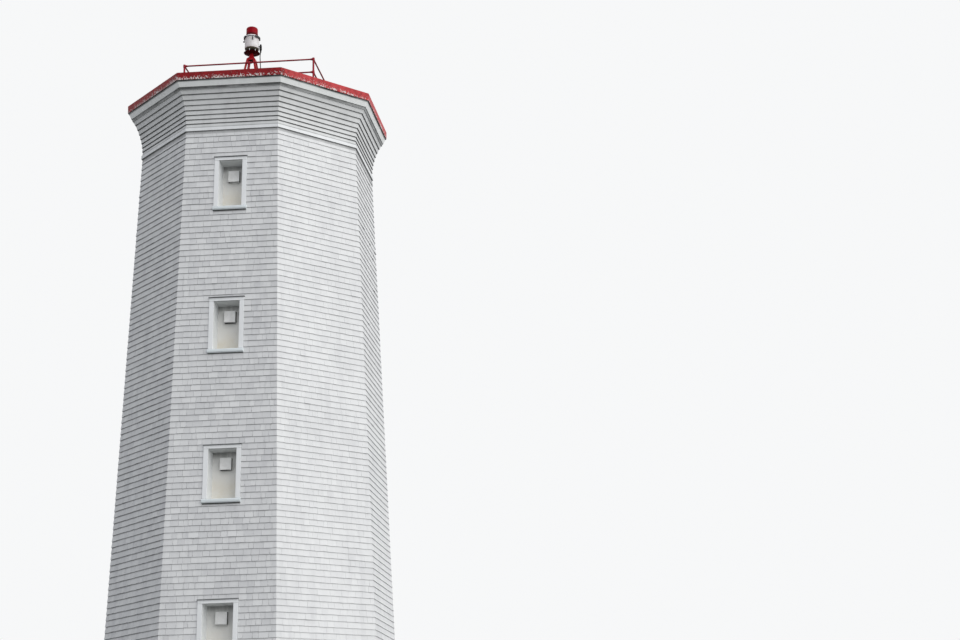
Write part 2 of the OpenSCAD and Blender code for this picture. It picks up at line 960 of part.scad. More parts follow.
// Cable from the plug down to the gland in the deck
module beacon_cable() {
    last = len(cable_route) - 1;
    points = [for (i = [0 : last], p = ring(i)) p];
    walls = [for (i = [0 : last - 1], k = [0 : cable_sides - 1])
        let (next = (k + 1) % cable_sides, row = i * cable_sides, under = row + cable_sides)
        [row + k, under + k, under + next, row + next]];
    head = [for (k = [0 : cable_sides - 1]) k];
    foot = [for (k = [cable_sides - 1 : -1 : 0]) last * cable_sides + k];
    color("black")
        on_stand(deck_top)
            polyhedron(points = points, faces = concat(walls, [head, foot]));
}

module deck_gland() {
    color("dimgray")
        on_stand(deck_top)
            translate([cable_foot[0], 0, 0]) {
                cylinder(d = gland_d, h = gland_h * 0.35, $fn = 6);
                cylinder(d = gland_d * 0.7, h = gland_h, $fn = 32);
            }
}

foundation();
ground_floor();
upper_floors();
front_wall();
front_right_wall();
right_wall();
back_right_wall();
back_wall();
back_left_wall();
left_wall();
front_left_wall();
front_casings();
front_sills();
front_panels();
front_vents();
back_casings();
back_sills();
back_panels();
back_vents();
drip_caps();
door_frame();
entrance_door();
entrance_step();
cornice_trim();
cornice_core();
cornice_clapboards();
bed_mould();
frieze_boards();
red_fascia();
roof_deck();
railing_posts();
railing_rails();
roof_hatch();
beacon_stand();
beacon_disc();
levelling_studs();
beacon_base();
beacon_drum();
clamp_ring();
beacon_collar();
beacon_cap();
beacon_latches();
cable_plug();
beacon_cable();
deck_gland();
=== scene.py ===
# %% [markdown]
# # A shingled lighthouse, finished in Blender
# The tower arrives from CAD as fixed pieces in metres, with the ground at zero and the front wall facing -Y.
# Blender adds what the eye reads as timber, paint and weather: nearly sixteen thousand separate shingles,
# eased edges, peeling red paint, stained panels. Each step says what the real thing is and why it is made so.

# %% Load the fixed model
import math

import bmesh
import bpy
import numpy as np
from mathutils import Matrix, Vector


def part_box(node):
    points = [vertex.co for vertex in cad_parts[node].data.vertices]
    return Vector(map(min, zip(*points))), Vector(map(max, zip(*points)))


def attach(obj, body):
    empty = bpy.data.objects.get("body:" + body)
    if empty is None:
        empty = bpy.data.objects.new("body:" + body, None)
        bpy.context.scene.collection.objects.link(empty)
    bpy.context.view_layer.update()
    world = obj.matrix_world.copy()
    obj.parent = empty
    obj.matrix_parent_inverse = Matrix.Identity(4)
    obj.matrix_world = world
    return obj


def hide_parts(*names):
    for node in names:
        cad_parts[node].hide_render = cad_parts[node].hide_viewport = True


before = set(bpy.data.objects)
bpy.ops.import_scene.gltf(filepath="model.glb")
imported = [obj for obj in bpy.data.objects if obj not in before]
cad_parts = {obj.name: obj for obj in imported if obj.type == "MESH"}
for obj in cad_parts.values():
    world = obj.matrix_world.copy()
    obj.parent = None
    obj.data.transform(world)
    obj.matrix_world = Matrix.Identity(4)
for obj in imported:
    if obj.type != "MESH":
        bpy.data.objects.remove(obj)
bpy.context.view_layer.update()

# %% [markdown]
# ## The camera
# The view was solved from the straight edges of the tower: some thirty-six metres away, a little right of the
# front, with a short telephoto lens tilted up. The picture is the upper left part of what that lens saw, so
# the frame is shifted off the lens's axis. A camera's matrix has its right, up and backward directions as
# columns, so the tilt needs no turning in steps.

# %% The camera
EYE = Vector((9.059, -35.254, 3.378))
HEADING = math.radians(3.168)
PITCH = math.radians(12.759)
ROLL = math.radians(-1.765)
LENS_MM = 63.1
SHIFT = (-0.1067, 0.1059)

ahead = Vector((-math.sin(HEADING) * math.cos(PITCH), math.cos(HEADING) * math.cos(PITCH), math.sin(PITCH)))
level = Vector((math.cos(HEADING), math.sin(HEADING), 0))
above = level.cross(ahead)
across = math.cos(ROLL) * level + math.sin(ROLL) * above
upright = math.cos(ROLL) * above - math.sin(ROLL) * level

camera = bpy.data.objects.new("camera", bpy.data.cameras.new("camera"))
camera.data.sensor_width = 36
camera.data.lens = LENS_MM
camera.data.shift_x, camera.data.shift_y = SHIFT
camera.data.clip_end = 500
camera.matrix_world = Matrix.Translation(EYE) @ Matrix((across, upright, -ahead)).transposed().to_4x4()
bpy.context.scene.collection.objects.link(camera)
bpy.context.scene.camera = camera
print("camera", round((EYE.x ** 2 + EYE.y ** 2) ** 0.5, 2), "m from the tower's axis")

# %% [markdown]
# ## Meshes from whole arrays
# Every new piece is worked out with numpy as arrays of points and faces, and handed to Blender in one go.
# A part is a pair: points as an n by 3 array, and a list of face arrays, one for each number of corners.
# Parts are stacked into one mesh, so a railing with forty pipes is still one piece. Where its edges would
# look too sharp, a piece gets a narrow bevel as it goes into the scene.

# %% From arrays to a mesh
def stack(parts):
    """Joins parts into one: each part's face numbers are raised by the count of points before it."""
    points, faces, start = [], [], 0
    for part_points, part_faces in parts:
        points.append(part_points)
        faces += [f + start for f in part_faces]
        start += len(part_points)
    return np.concatenate(points), faces


def mesh_of(name, part):
    """Blender mesh of a part. Face arrays of different widths are laid end to end as loops."""
    points, faces = part
    loops = np.concatenate([f.ravel() for f in faces]).astype(np.int32)
    sizes = np.concatenate([np.full(len(f), f.shape[1]) for f in faces])
    mesh = bpy.data.meshes.new(name)
    mesh.vertices.add(len(points))
    mesh.vertices.foreach_set("co", points.astype(np.float32).ravel())
    mesh.loops.add(len(loops))
    mesh.loops.foreach_set("vertex_index", loops)
    mesh.polygons.add(len(sizes))
    mesh.polygons.foreach_set("loop_start", (np.cumsum(sizes) - sizes).astype(np.int32))
    mesh.update(calc_edges=True)
    return mesh


# %% Putting a piece in the scene
def eased_edges(piece, width):
    """Narrow bevel on every edge of a piece where its faces turn by more than thirty degrees."""
    bevel = piece.modifiers.new("eased_edges", "BEVEL")
    bevel.width = width
    bevel.segments = 2
    bevel.limit_method = "ANGLE"
    bevel.angle_limit = math.radians(30)


def add_piece(name, shape, finish, slot, stands_for=(), smooth=True, ease=0.0):
    """Puts a piece in the scene on the tower's one body, with its finish; the slot is not used. Its shape is
    a mesh, or a part that becomes one. Ease is the width of the bevel on its edges."""
    mesh = shape if isinstance(shape, bpy.types.Mesh) else mesh_of(name, shape)
    if smooth:
        mesh.shade_smooth()
        mesh.set_sharp_from_angle(angle=math.radians(38))
    else:
        mesh.shade_flat()
    mesh.materials.clear()
    mesh.materials.append(finish)
    piece = bpy.data.objects.new(name, mesh)
    bpy.context.scene.collection.objects.link(piece)
    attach(piece, "root")
    if stands_for:
        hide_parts(*stands_for)
    if ease:
        eased_edges(piece, ease)
    return piece


def finish_node(node, shape, finish, slot, **settings):
    """Adds the finished form of a CAD node, which it stands for."""
    return add_piece(f"{node}_finished", shape, finish, slot, (node,), **settings)


# %% Points, tables and faces
def mark_points(mesh, title, values):
    """Writes one number for each point of a mesh, which a material reads by its title."""
    mesh.attributes.new(title, "FLOAT", "POINT").data.foreach_set("value", np.asarray(values, np.float32))


def places_of(mesh):
    """All the points of a mesh as an n by 3 array."""
    places = np.zeros(len(mesh.vertices) * 3, np.float32)
    mesh.vertices.foreach_get("co", places)
    return places.reshape(-1, 3)


def table(*columns):
    """Columns side by side as an array; a single number fills its whole column."""
    return np.stack(np.broadcast_arrays(*columns), axis=1)


def grid_faces(rows, columns, wrap):
    """Quads of a grid of points, numbered row by row; wrap joins the last column to the first."""
    row, column = np.meshgrid(np.arange(rows - 1), np.arange(columns - (0 if wrap else 1)), indexing="ij")
    here = (row * columns + column).ravel()
    beside = (row * columns + (column + 1) % columns).ravel()
    return np.stack([here, beside, beside + columns, here + columns], axis=1)


def tube_faces(count, segments):
    """Faces of a count of rings joined one to the next, with a fan of triangles about one more point at each
    end."""
    first = np.arange(segments)
    after = (first + 1) % segments
    last = (count - 1) * segments
    low_fan = table(after, first, count * segments)
    high_fan = table(last + first, last + after, count * segments + 1)
    return [grid_faces(count, segments, True), low_fan, high_fan]


# %% [markdown]
# Round parts are profiles turned about an axis. A profile that starts and ends on the axis closes itself:
# its end rings shrink to a point, and a fan of triangles meets there, so that no seam or hole is left.

# %% Turned parts and pipes
def turned(profile, segments):
    """Profile of (radius, height) points turned about Z: x = r cos a, y = r sin a. Its ends lie on Z."""
    profile = np.asarray(profile, float)
    radius, height = profile[1:-1, 0], profile[1:-1, 1]
    angle = np.linspace(0, 2 * np.pi, segments, endpoint=False)
    x = radius[:, None] * np.cos(angle)
    y = radius[:, None] * np.sin(angle)
    z = np.repeat(height[:, None], segments, axis=1)
    rings = np.stack([x, y, z], axis=2).reshape(-1, 3)
    ends = [[0, 0, profile[0, 1]], [0, 0, profile[-1, 1]]]
    return np.vstack([rings, ends]), tube_faces(len(radius), segments)


def placed(part, origin, along=(0, 0, 1)):
    """A turned part moved to origin with its Z axis laid along a direction."""
    turn = np.array(Vector((0, 0, 1)).rotation_difference(Vector(along)).to_matrix())
    return part[0] @ turn.T + np.asarray(origin, float), part[1]


def arc(radius, height, size, start, end, steps=6):
    """Points on an arc of a profile: (radius + size cos a, height + size sin a), with the angle a between two
    values in degrees, 0 outwards and 90 up."""
    angle = np.radians(np.linspace(start, end, steps))
    return np.stack([radius + size * np.cos(angle), height + size * np.sin(angle)], axis=1)


def rounded(radius, low, high, ease):
    """Profile of a short cylinder whose two rims are rounded by quarter circles of radius ease."""
    foot = arc(radius - ease, low + ease, ease, -90, 0, 5)
    head = arc(radius - ease, high - ease, ease, 0, 90, 5)
    return np.vstack([(0, low), foot, head, (0, high)])


def stub(place, radius, low, high, ease, along=(0, 0, 1), segments=32):
    """Short cylinder with rounded rims, from low to high past a place along a direction."""
    return placed(turned(rounded(radius, low, high, ease), segments), place, along)


def pipe(start, end, radius, segments=24):
    """Straight pipe between two points, with eased ends: a stub as long as the way between them."""
    way = Vector(end) - Vector(start)
    return stub(start, radius, 0, way.length, radius * 0.15, way, segments)


# %% [markdown]
# Square parts are blocks with eight corners, counted from left to right, then from low to high, then from the
# inside out. All the blocks of a piece are worked out together, as arrays with one row for each block. A band
# is a block bent round an axis.

# %% Blocks and bands
BLOCK_FACES = np.array([[1, 5, 7, 3], [0, 2, 6, 4], [0, 4, 5, 1], [2, 3, 7, 6], [0, 1, 3, 2], [4, 6, 7, 5]])
BOX_CORNERS = np.array([[right, 1 - outer, high] for right in (0, 1) for high in (0, 1) for outer in (0, 1)])


def block_faces(count):
    """Six faces for each of a count of blocks, whose eight corners follow one another."""
    return (np.arange(count)[:, None, None] * 8 + BLOCK_FACES).reshape(-1, 4)


def boxes(lows, highs):
    """Upright boxes between lowest and highest corners, one row for each: low + pick * (high - low)."""
    lows, highs = np.atleast_2d(np.asarray(lows, float)), np.atleast_2d(np.asarray(highs, float))
    points = lows[:, None] + BOX_CORNERS * (highs - lows)[:, None]
    return points.reshape(-1, 3), [block_faces(len(lows))]


def band(inner, outer, low, high, start, end, steps=24):
    """Rectangle of radii and heights carried round Z between two angles in degrees, closed at both ends."""
    radius, z = np.array([outer, outer, inner, inner]), np.array([low, high, high, low])
    angle = np.radians(np.linspace(start, end, steps))[:, None]
    points = np.stack([radius * np.cos(angle), radius * np.sin(angle), z + 0 * angle], axis=2).reshape(-1, 3)
    last = (steps - 1) * 4
    ends = np.array([[0, 1, 2, 3], [last + 3, last + 2, last + 1, last]])
    return points, [grid_faces(steps, 4, True)[:, ::-1], ends]


# %% [markdown]
# ## The shape of the tower
# Each wall leans in, so the distance from the axis to its boards falls with height in a straight line. That
# line is read from the wall that faces +X. All the rest of the shingling follows from it and from one fact of
# an eight-sided plan: half a side's width is the distance from the axis times the tangent of 22.5 degrees.

# %% Measure the walls
SIDES = 8
TURN = 2 * math.pi / SIDES
SPREAD = math.tan(TURN / 2)


def points_of(node):
    """All the points of a CAD node, as an n by 3 array."""
    return places_of(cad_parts[node].data).astype(float)


wall = points_of("right_wall")
wall_foot, wall_head = wall[:, 2].min(), wall[:, 2].max()
foot_out = wall[wall[:, 2] < wall_foot + 0.01, 0].max()
head_out = wall[wall[:, 2] > wall_head - 0.01, 0].max()
LEAN = (foot_out - head_out) / (wall_head - wall_foot)


def boards(z):
    """Distance from the tower's axis to the sheathing boards at height z."""
    return foot_out - LEAN * (z - wall_foot)


def on_side(side, x, distance, z):
    """Points on one side of the tower: x along it, distance from the tower's axis, z above the ground. The
    front's point (x, -distance) is turned about the axis: x' = c x + s distance, y' = s x - c distance."""
    c, s = math.cos(TURN * side), math.sin(TURN * side)
    return np.stack([c * x + s * distance, s * x - c * distance, z], axis=-1)


def clipped_blocks(side, left, right, distance, z):
    """Blocks on one side of the tower, cut off at the corners' planes: |x| is at most SPREAD times the
    distance. Distance and z have four columns: inner low, outer low, inner high and outer high."""
    x = np.repeat(np.stack([left, right], axis=1), 4, axis=1)
    distance, z = np.tile(distance, 2), np.tile(z, 2)
    points = on_side(side, np.clip(x, -SPREAD * distance, SPREAD * distance), distance, z).reshape(-1, 3)
    return points, [block_faces(len(left))]


print("walls lean in", round(LEAN * 1000, 1), "mm for each metre")

# %% [markdown]
# ## The supply cable
# A thin black cable leaves the plug on the right of the beacon and drops to a gland in the deck. It hangs in
# a slight bow that first swings in under the round plate. The points are those of the CAD route; a smooth
# curve through them is sampled finely, and a circle is carried along it.

# %% Route of the cable
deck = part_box("roof_deck")[1].z
plate_low, plate_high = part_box("beacon_disc")
beacon = np.array([(plate_low.x + plate_high.x) / 2, (plate_low.y + plate_high.y) / 2])
CABLE_D = 0.020
CABLE_ROUTE = np.array([
    [200, 1445], [199, 1420], [197, 1390], [193, 1360], [190, 1330], [189, 1300], [190, 1260],
    [192, 1220], [195, 1160], [199, 1090], [203, 1010], [207, 920], [209, 820], [210, 700],
    [209, 560], [207, 420], [204, 280], [202, 160], [201, 100], [200, 45]
]) / 1000


def smooth_path(points, steps):
    """Cubic through all the points. Each stretch blends its two ends and their slopes by powers of t, and the
    slope at a point is half the way from the point before it to the one after."""
    before = np.vstack([2 * points[0] - points[1], points[:-1]])
    after = np.vstack([points[1:], 2 * points[-1] - points[-2]])
    slope = (after - before) / 2
    t = np.linspace(0, 1, steps, endpoint=False)[None, :, None]
    curve = (2 * t**3 - 3 * t**2 + 1) * points[:-1, None] + (t**3 - 2 * t**2 + t) * slope[:-1, None]
    curve = curve + (3 * t**2 - 2 * t**3) * points[1:, None] + (t**3 - t**2) * slope[1:, None]
    return np.vstack([curve.reshape(-1, points.shape[1]), points[-1:]])


def swept(path, radius, segments=16):
    """Circle carried along a path in a plane of constant y: path + radius (outward cos a + Y sin a), where
    outward is square to the path and leans with it."""
    ahead_of = np.gradient(path, axis=0)
    ahead_of[[0, -1]] = [0, 0, -1]
    ahead_of /= np.linalg.norm(ahead_of, axis=1, keepdims=True)
    outward = table(-ahead_of[:, 2], 0.0, ahead_of[:, 0])
    angle = np.linspace(0, 2 * np.pi, segments, endpoint=False)[:, None]
    ring = np.cos(angle) * outward[:, None] + np.sin(angle) * np.array([0, 1, 0])
    points = (path[:, None] + radius * ring).reshape(-1, 3)
    faces = [f[:, ::-1] for f in tube_faces(len(path), segments)]
    return np.vstack([points, path[:1], path[-1:]]), faces


along_x, along_z = smooth_path(CABLE_ROUTE, 6).T
cable_path = table(beacon[0] + along_x, beacon[1], deck + along_z)

# %% [markdown]
# ## Building materials from nodes
# Small helpers keep the recipes short. One adds a node with its settings and links, and the sums, blends and
# noises are made with it. Another opens a new material and sets what is the same all over straight on the
# Principled shader's own sockets. What changes over the surface is linked at the end of each recipe: the base
# colour, a bump, and in most cases the roughness.

# %% Node helpers
def put(tree, kind, sockets=None, **settings):
    """Adds a node. Settings are its own choices; sockets are inputs, each a plain value or an output."""
    node = tree.nodes.new(kind)
    for key, value in settings.items():
        setattr(node, key, value)
    for key, value in (sockets or {}).items():
        if isinstance(value, bpy.types.NodeSocket):
            tree.links.new(value, node.inputs[key])
        else:
            node.inputs[key].default_value = value
    return node


def maths(tree, operation, a, b, clamp=False):
    """Output of one sum on two values."""
    return put(tree, "ShaderNodeMath", {0: a, 1: b}, operation=operation, use_clamp=clamp).outputs[0]


def weighed(tree, a, share_a, b, share_b):
    """Sum of two values, each multiplied by its share."""
    return maths(tree, "ADD", maths(tree, "MULTIPLY", a, share_a), maths(tree, "MULTIPLY", b, share_b))


def between(tree, value, low, high, start=0.0, end=1.0):
    """Value remapped smoothly so that low gives start and high gives end."""
    sockets = {"Value": value, "From Min": low, "From Max": high, "To Min": start, "To Max": end}
    return put(tree, "ShaderNodeMapRange", sockets, interpolation_type="SMOOTHSTEP").outputs["Result"]


def blend(tree, share, a, b):
    """Colour that goes from a to b as share goes from 0 to 1."""
    return put(tree, "ShaderNodeMix", {0: share, 6: a, 7: b}, data_type="RGBA").outputs[2]


def noise(tree, vector, scale, detail=4.0, rough=0.55):
    """Cloudy noise from 0 to 1 about a middle of one half."""
    sockets = {"Vector": vector, "Scale": scale, "Detail": detail, "Roughness": rough}
    return put(tree, "ShaderNodeTexNoise", sockets).outputs["Fac"]


def where(tree):
    """Place of a surface point in the tower's own frame."""
    return put(tree, "ShaderNodeTexCoord").outputs["Object"]


def one_axis(tree, vector, axis):
    """One of a vector's three values, named X, Y or Z."""
    return put(tree, "ShaderNodeSeparateXYZ", {0: vector}).outputs[axis]


def marked(tree, title):
    """Value that a mesh carries at its points under a title."""
    return put(tree, "ShaderNodeAttribute", attribute_name=title).outputs["Fac"]


# %% Opening and closing a material
def material(name, roughness=0.6, metallic=0.0, **plain):
    """New material: its node tree and its Principled shader, with plain values set on the shader."""
    made = bpy.data.materials.new(name)
    made.use_nodes = True
    shader = made.node_tree.nodes["Principled BSDF"]
    shader.inputs["Roughness"].default_value = roughness
    shader.inputs["Metallic"].default_value = metallic
    for key, value in plain.items():
        shader.inputs[key.replace("_", " ")].default_value = value
    return made, made.node_tree, shader


def dress(tree, shader, colour, height, relief, strength, roughness=None, **settings):
    """Links what changes over a surface: its colour, a bump of a height map with its relief in metres, and in
    most recipes its roughness."""
    tree.links.new(colour, shader.inputs["Base Color"])
    if roughness is not None:
        tree.links.new(roughness, shader.inputs["Roughness"])
    sockets = {"Height": height, "Distance": relief, "Strength": strength}
    bump = put(tree, "ShaderNodeBump", sockets, **settings)
    tree.links.new(bump.outputs["Normal"], shader.inputs["Normal"])


def grey(level, tint=(1.0, 1.0, 1.0)):
    """Grey of a level, each channel multiplied by its tint."""
    return (level * tint[0], level * tint[1], level * tint[2], 1.0)


# %% [markdown]
# ## Weather and painted shade, as shared node groups
# Rain and sun act alike on every painted surface, so their patterns are built once, and so is the mask of
# painted
# shade. `weather` gives broad blotches and runs that streak downwards. `peeling` gives the mask of lost
# paint:
# fine flakes, gathered into patches as far as `Patchy` says, and more of them where `Loss` is high.
# `underside` finds the faces that look down and not outwards, which are darkened as painted shade. `grain`
# gives the fine ridges of brushed wood. Each puts out values only.

# %% Shared node groups
def new_group(name, **inputs):
    """Empty node group, and the outputs that hold the values of its named inputs."""
    tree = bpy.data.node_groups.new(name, "ShaderNodeTree")
    for title, value in inputs.items():
        tree.interface.new_socket(title, in_out="INPUT", socket_type="NodeSocketFloat").default_value = value
    return tree, put(tree, "NodeGroupInput").outputs


def give_out(tree, **values):
    """Adds the named outputs of a group and links each to its value."""
    for title in values:
        tree.interface.new_socket(title, in_out="OUTPUT", socket_type="NodeSocketFloat")
    put(tree, "NodeGroupOutput", values)


def stretched(tree, scale):
    """Place of a surface point multiplied by a scale for each axis."""
    return put(tree, "ShaderNodeVectorMath", {0: where(tree), 1: scale}, operation="MULTIPLY").outputs[0]


weather, given = new_group("weather", Blotches=1.3, Runs=6.0)
blotch = noise(weather, stretched(weather, (1, 1, 1)), given["Blotches"], 7, 0.62)
run = noise(weather, stretched(weather, (1, 1, 0.07)), given["Runs"], 5, 0.6)
give_out(weather, Blotch=between(weather, blotch, 0.34, 0.68), Run=between(weather, run, 0.42, 0.72))

peeling, given = new_group("peeling", Flakes=16.0, Loss=0.5, Patchy=0.35)
flakes = noise(peeling, stretched(peeling, (1, 1, 0.9)), given["Flakes"], 9, 0.72)
patches = noise(peeling, stretched(peeling, (1, 1, 1)), 3.0, 3, 0.5)
worn = weighed(peeling, flakes, maths(peeling, "SUBTRACT", 1.0, given["Patchy"]), patches, given["Patchy"])
past_edge = maths(peeling, "SUBTRACT", worn, maths(peeling, "SUBTRACT", 1.0, given["Loss"]))
give_out(peeling, Bare=between(peeling, past_edge, 0.0, 0.03))

underside, given = new_group("underside")
normal = put(underside, "ShaderNodeNewGeometry").outputs["Normal"]
flat_place = {0: stretched(underside, (1, 1, 0))}
from_axis = put(underside, "ShaderNodeVectorMath", flat_place, operation="NORMALIZE").outputs[0]
outward = put(underside, "ShaderNodeVectorMath", {0: from_axis, 1: normal}, operation="DOT_PRODUCT")
turned_in = between(underside, outward.outputs["Value"], 0.68, 0.50)
looking_down = between(underside, one_axis(underside, normal, "Z"), -0.45, -0.80)
give_out(underside, Down=maths(underside, "MULTIPLY", looking_down, turned_in))

grain, given = new_group("grain", Fineness=60.0)
give_out(grain, Ridge=noise(grain, stretched(grain, (1, 1, 0.04)), given["Fineness"], 4, 0.6))
print("shared groups:", [g.name for g in bpy.data.node_groups])


# %% [markdown]
# ## Painted timber
# Most of what shows is white paint on wood. The recipe starts from the paint's colour, soils it in blotches
# and runs, and lets a shingle's own tone shift it a little, so that no two neighbours match. Where the soil
# is thick the surface is rougher, and the wood's grain lifts the paint by a hair.
#
# Painted shade darkens the strip just under the next board's edge, the faces that look down, inner corners
# and the band under the cornice. Each mesh carries values that say how near such a place a point is:
# `rise`, from a shingle's butt to the next one's edge; `eave`, up to the cornice's foot; `climb`, from the
# foot of a piece to its top; and `corner`, which is 1 in an inner corner.

# %% Painted timber
# The near-black colour of all painted shade: under butts, boards and sills, in corners and recesses.
SHADE_COLOUR = (0.045, 0.048, 0.046, 1)


def use_group(tree, group, **values):
    """Places a shared group in a material with its own input values."""
    return put(tree, "ShaderNodeGroup", values, node_tree=group).outputs


def shaded_below(tree, colour, underside_shade):
    """Colour darkened as painted shade on the faces that look down, by the share given."""
    return blend(tree, maths(tree, "MULTIPLY", use_group(tree, underside)["Down"], underside_shade), colour, SHADE_COLOUR)


def painted_timber(name, paint, soil, blotches, runs, roughness, tones=0.0, ridge=0.0006, underside_shade=0.0, painted_shade=()):
    """White or coloured paint on wood: paint colour, soil colour, and how far each pattern carries one to the
    other. The underside share darkens the faces that look down as painted shade. Each layer of painted shade
    is the title of a mesh's values, the two between which it sets in, and its share."""
    made, tree, shader = material(name, roughness)
    marks = use_group(tree, weather, Blotches=1.3, Runs=7.0)
    share = weighed(tree, marks["Blotch"], blotches, marks["Run"], runs)
    if tones:
        share = maths(tree, "ADD", share, maths(tree, "MULTIPLY", marked(tree, "tone"), tones))
    share = maths(tree, "MINIMUM", share, 1.0)
    colour = blend(tree, share, paint, soil)
    if underside_shade:
        colour = shaded_below(tree, colour, underside_shade)
    # Each layer adds painted shade near a place that the mesh's values mark.
    for title, low, high, most in painted_shade:
        nearness = between(tree, marked(tree, title), low, high)
        uneven = between(tree, marks["Blotch"], 0.0, 1.0, 0.7 * most, most)
        colour = blend(tree, maths(tree, "MULTIPLY", nearness, uneven), colour, SHADE_COLOUR)
    rough = between(tree, share, 0.0, 1.0, roughness, roughness + 0.25)
    dress(tree, shader, colour, use_group(tree, grain, Fineness=70.0)["Ridge"], ridge, 0.7, rough)
    return made


# %% Finishes on timber
# Painted shade on the shingles: on the faces that look down, in the strip under each next butt, deeper under
# a sill, and in a band below the cornice.
shingle_paint = painted_timber("shingle_paint", grey(0.83, (0.99, 1.0, 1.0)), grey(0.56, (0.98, 0.99, 1.02)),
                               0.15, 0.18, 0.62, tones=0.38, underside_shade=0.9,
                               painted_shade=(("rise", 0.84, 0.97, 0.47), ("rise", 1.02, 1.10, 0.95),
                                     ("eave", 0.40, 0.52, 0.42)))
# The trim's faces that look down are darkened as painted shade.
trim_paint = painted_timber("trim_paint", grey(0.95, (0.98, 1.0, 1.01)), grey(0.70, (0.98, 1.0, 1.0)),
                            0.2, 0.15, 0.42, underside_shade=0.8)
# The sills' undersides are near black as painted shade, for the dark line under each sill.
sill_paint = painted_timber("sill_paint", grey(0.86, (0.93, 1.0, 1.02)), grey(0.62, (0.94, 1.0, 1.0)),
                            0.2, 0.15, 0.42, underside_shade=1.0)
# The drip caps are painted dark grey all over as painted shade: they stand for the shadow line over each
# window's head.
drip_shade_paint = painted_timber("drip_shade_paint", grey(0.22, (0.95, 1.0, 1.02)), grey(0.08, (0.95, 1.0, 1.0)),
                            0.4, 0.3, 0.5, underside_shade=1.0)
# The bed mould is darkened almost down to its foot as painted shade under the frieze.
mould_shade_paint = painted_timber("mould_shade_paint", grey(0.86, (0.98, 1.0, 1.0)), grey(0.60, (0.98, 1.0, 1.0)),
                             0.25, 0.2, 0.5, underside_shade=0.5, painted_shade=(("climb", -0.10, 0.20, 0.95),))
# A painted shadow line runs along the top of the cornice's foot board, under the lowest clapboard.
foot_paint = painted_timber("foot_paint", grey(0.90, (0.98, 1.0, 1.01)), grey(0.66, (0.98, 1.0, 1.0)),
                            0.2, 0.2, 0.45, underside_shade=0.8, painted_shade=(("climb", 0.80, 0.95, 0.6),))
# Painted shade in the inner corners under each lap, and along the foot of the lowest board.
clapboard_paint = painted_timber("clapboard_paint", grey(0.76, (0.985, 1.0, 1.0)),
                                 grey(0.52, (0.98, 1.0, 0.99)), 0.2, 0.25, 0.5, underside_shade=1.0,
                                 painted_shade=(("corner", 0.68, 0.88, 0.9), ("climb", 0.034, 0.012, 0.5)))
# Painted shade darkens the top of the frieze, under the fascia.
frieze_paint = painted_timber("frieze_paint", grey(0.95, (0.98, 1.0, 0.99)), grey(0.70, (0.96, 1.0, 0.97)),
                              0.2, 0.25, 0.5, underside_shade=0.8, painted_shade=(("climb", 0.70, 0.90, 1.0),))
# The walls' faces that look down, in the heads of the window recesses, are darkened as painted shade.
wall_paint = painted_timber("wall_paint", grey(0.93, (0.98, 1.0, 1.0)), grey(0.74, (0.97, 1.0, 0.98)),
                            0.2, 0.15, 0.45, underside_shade=0.25)
bare_timber = painted_timber("bare_timber", (0.42, 0.30, 0.18, 1), (0.22, 0.15, 0.09, 1),
                             0.5, 0.5, 0.8, ridge=0.002)
floor_timber = painted_timber("floor_timber", (0.36, 0.25, 0.15, 1), (0.16, 0.11, 0.07, 1),
                              0.5, 0.4, 0.7, ridge=0.002)
door_paint = painted_timber("door_paint", (0.36, 0.03, 0.035, 1), (0.16, 0.02, 0.02, 1), 0.4, 0.4, 0.45)
print("materials, the CAD's own among them:", len(bpy.data.materials))

# %% [markdown]
# ## Stained panels
# The boards that close the windows are cream, yellower towards the foot, where rain splashes, and greyer
# towards the top as painted shade of the recess. Just under the head of the opening hangs a strip of painted
# shade, thinned by the runs. All the windows are one pitch apart, so a remainder of the height by that pitch
# gives the same run of colour in each of them.

# %% Panel paint
WINDOW_PITCH = 3.13
HEAD_SHADE = 0.17
panel_low, panel_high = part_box("front_panels")
WINDOWS = 1 + int((panel_high.z - panel_low.z) / WINDOW_PITCH)
OPENING_H = panel_high.z - panel_low.z - (WINDOWS - 1) * WINDOW_PITCH
panel_paint, tree, shader = material("panel_paint", 0.55)
above_foot = maths(tree, "SUBTRACT", one_axis(tree, where(tree), "Z"), panel_low.z)
climb = maths(tree, "MODULO", above_foot, WINDOW_PITCH)
marks = use_group(tree, weather, Blotches=3.5, Runs=9.0)
patchy = maths(tree, "ADD", maths(tree, "MULTIPLY", marks["Blotch"], 0.5), 0.2)
stain = maths(tree, "MULTIPLY", between(tree, climb, OPENING_H * 0.7, 0.0), patchy)
# Painted shade: the panel greys towards the head of the recess.
plain = blend(tree, between(tree, climb, 0.1, OPENING_H), (0.84, 0.83, 0.79, 1), (0.76, 0.76, 0.74, 1))
stained = blend(tree, stain, plain, (0.74, 0.67, 0.53, 1))
# Painted shade under the head of the opening, thinned by the runs.
head_shade = between(tree, climb, OPENING_H - HEAD_SHADE, OPENING_H - 0.01, 0.0, 0.65)
head_shade_share = maths(tree, "SUBTRACT", head_shade, maths(tree, "MULTIPLY", marks["Run"], 0.25), True)
dress(tree, shader, blend(tree, head_shade_share, stained, SHADE_COLOUR), marks["Run"], 0.0008, 0.5)
print("windows in a column:", WINDOWS, "opening", round(OPENING_H, 3), "m high")


# %% [markdown]
# ## Red paint that peels
# The fascia's red paint has lost flakes down to a chalky white coat, most of all along its lower edge where
# drips hang, and the sun has bleached it on the right. The mask of lost paint reads the height inside the
# band. The same recipe, with less loss, serves the steel of the railing and the stand, where rust shows
# through, most of all on the stand's left legs. Old paint has lost its gloss, so its specular level is low,
# and the red stays deep under a pale surrounding.

# %% Red paints
RUST = (0.26, 0.075, 0.03, 1)


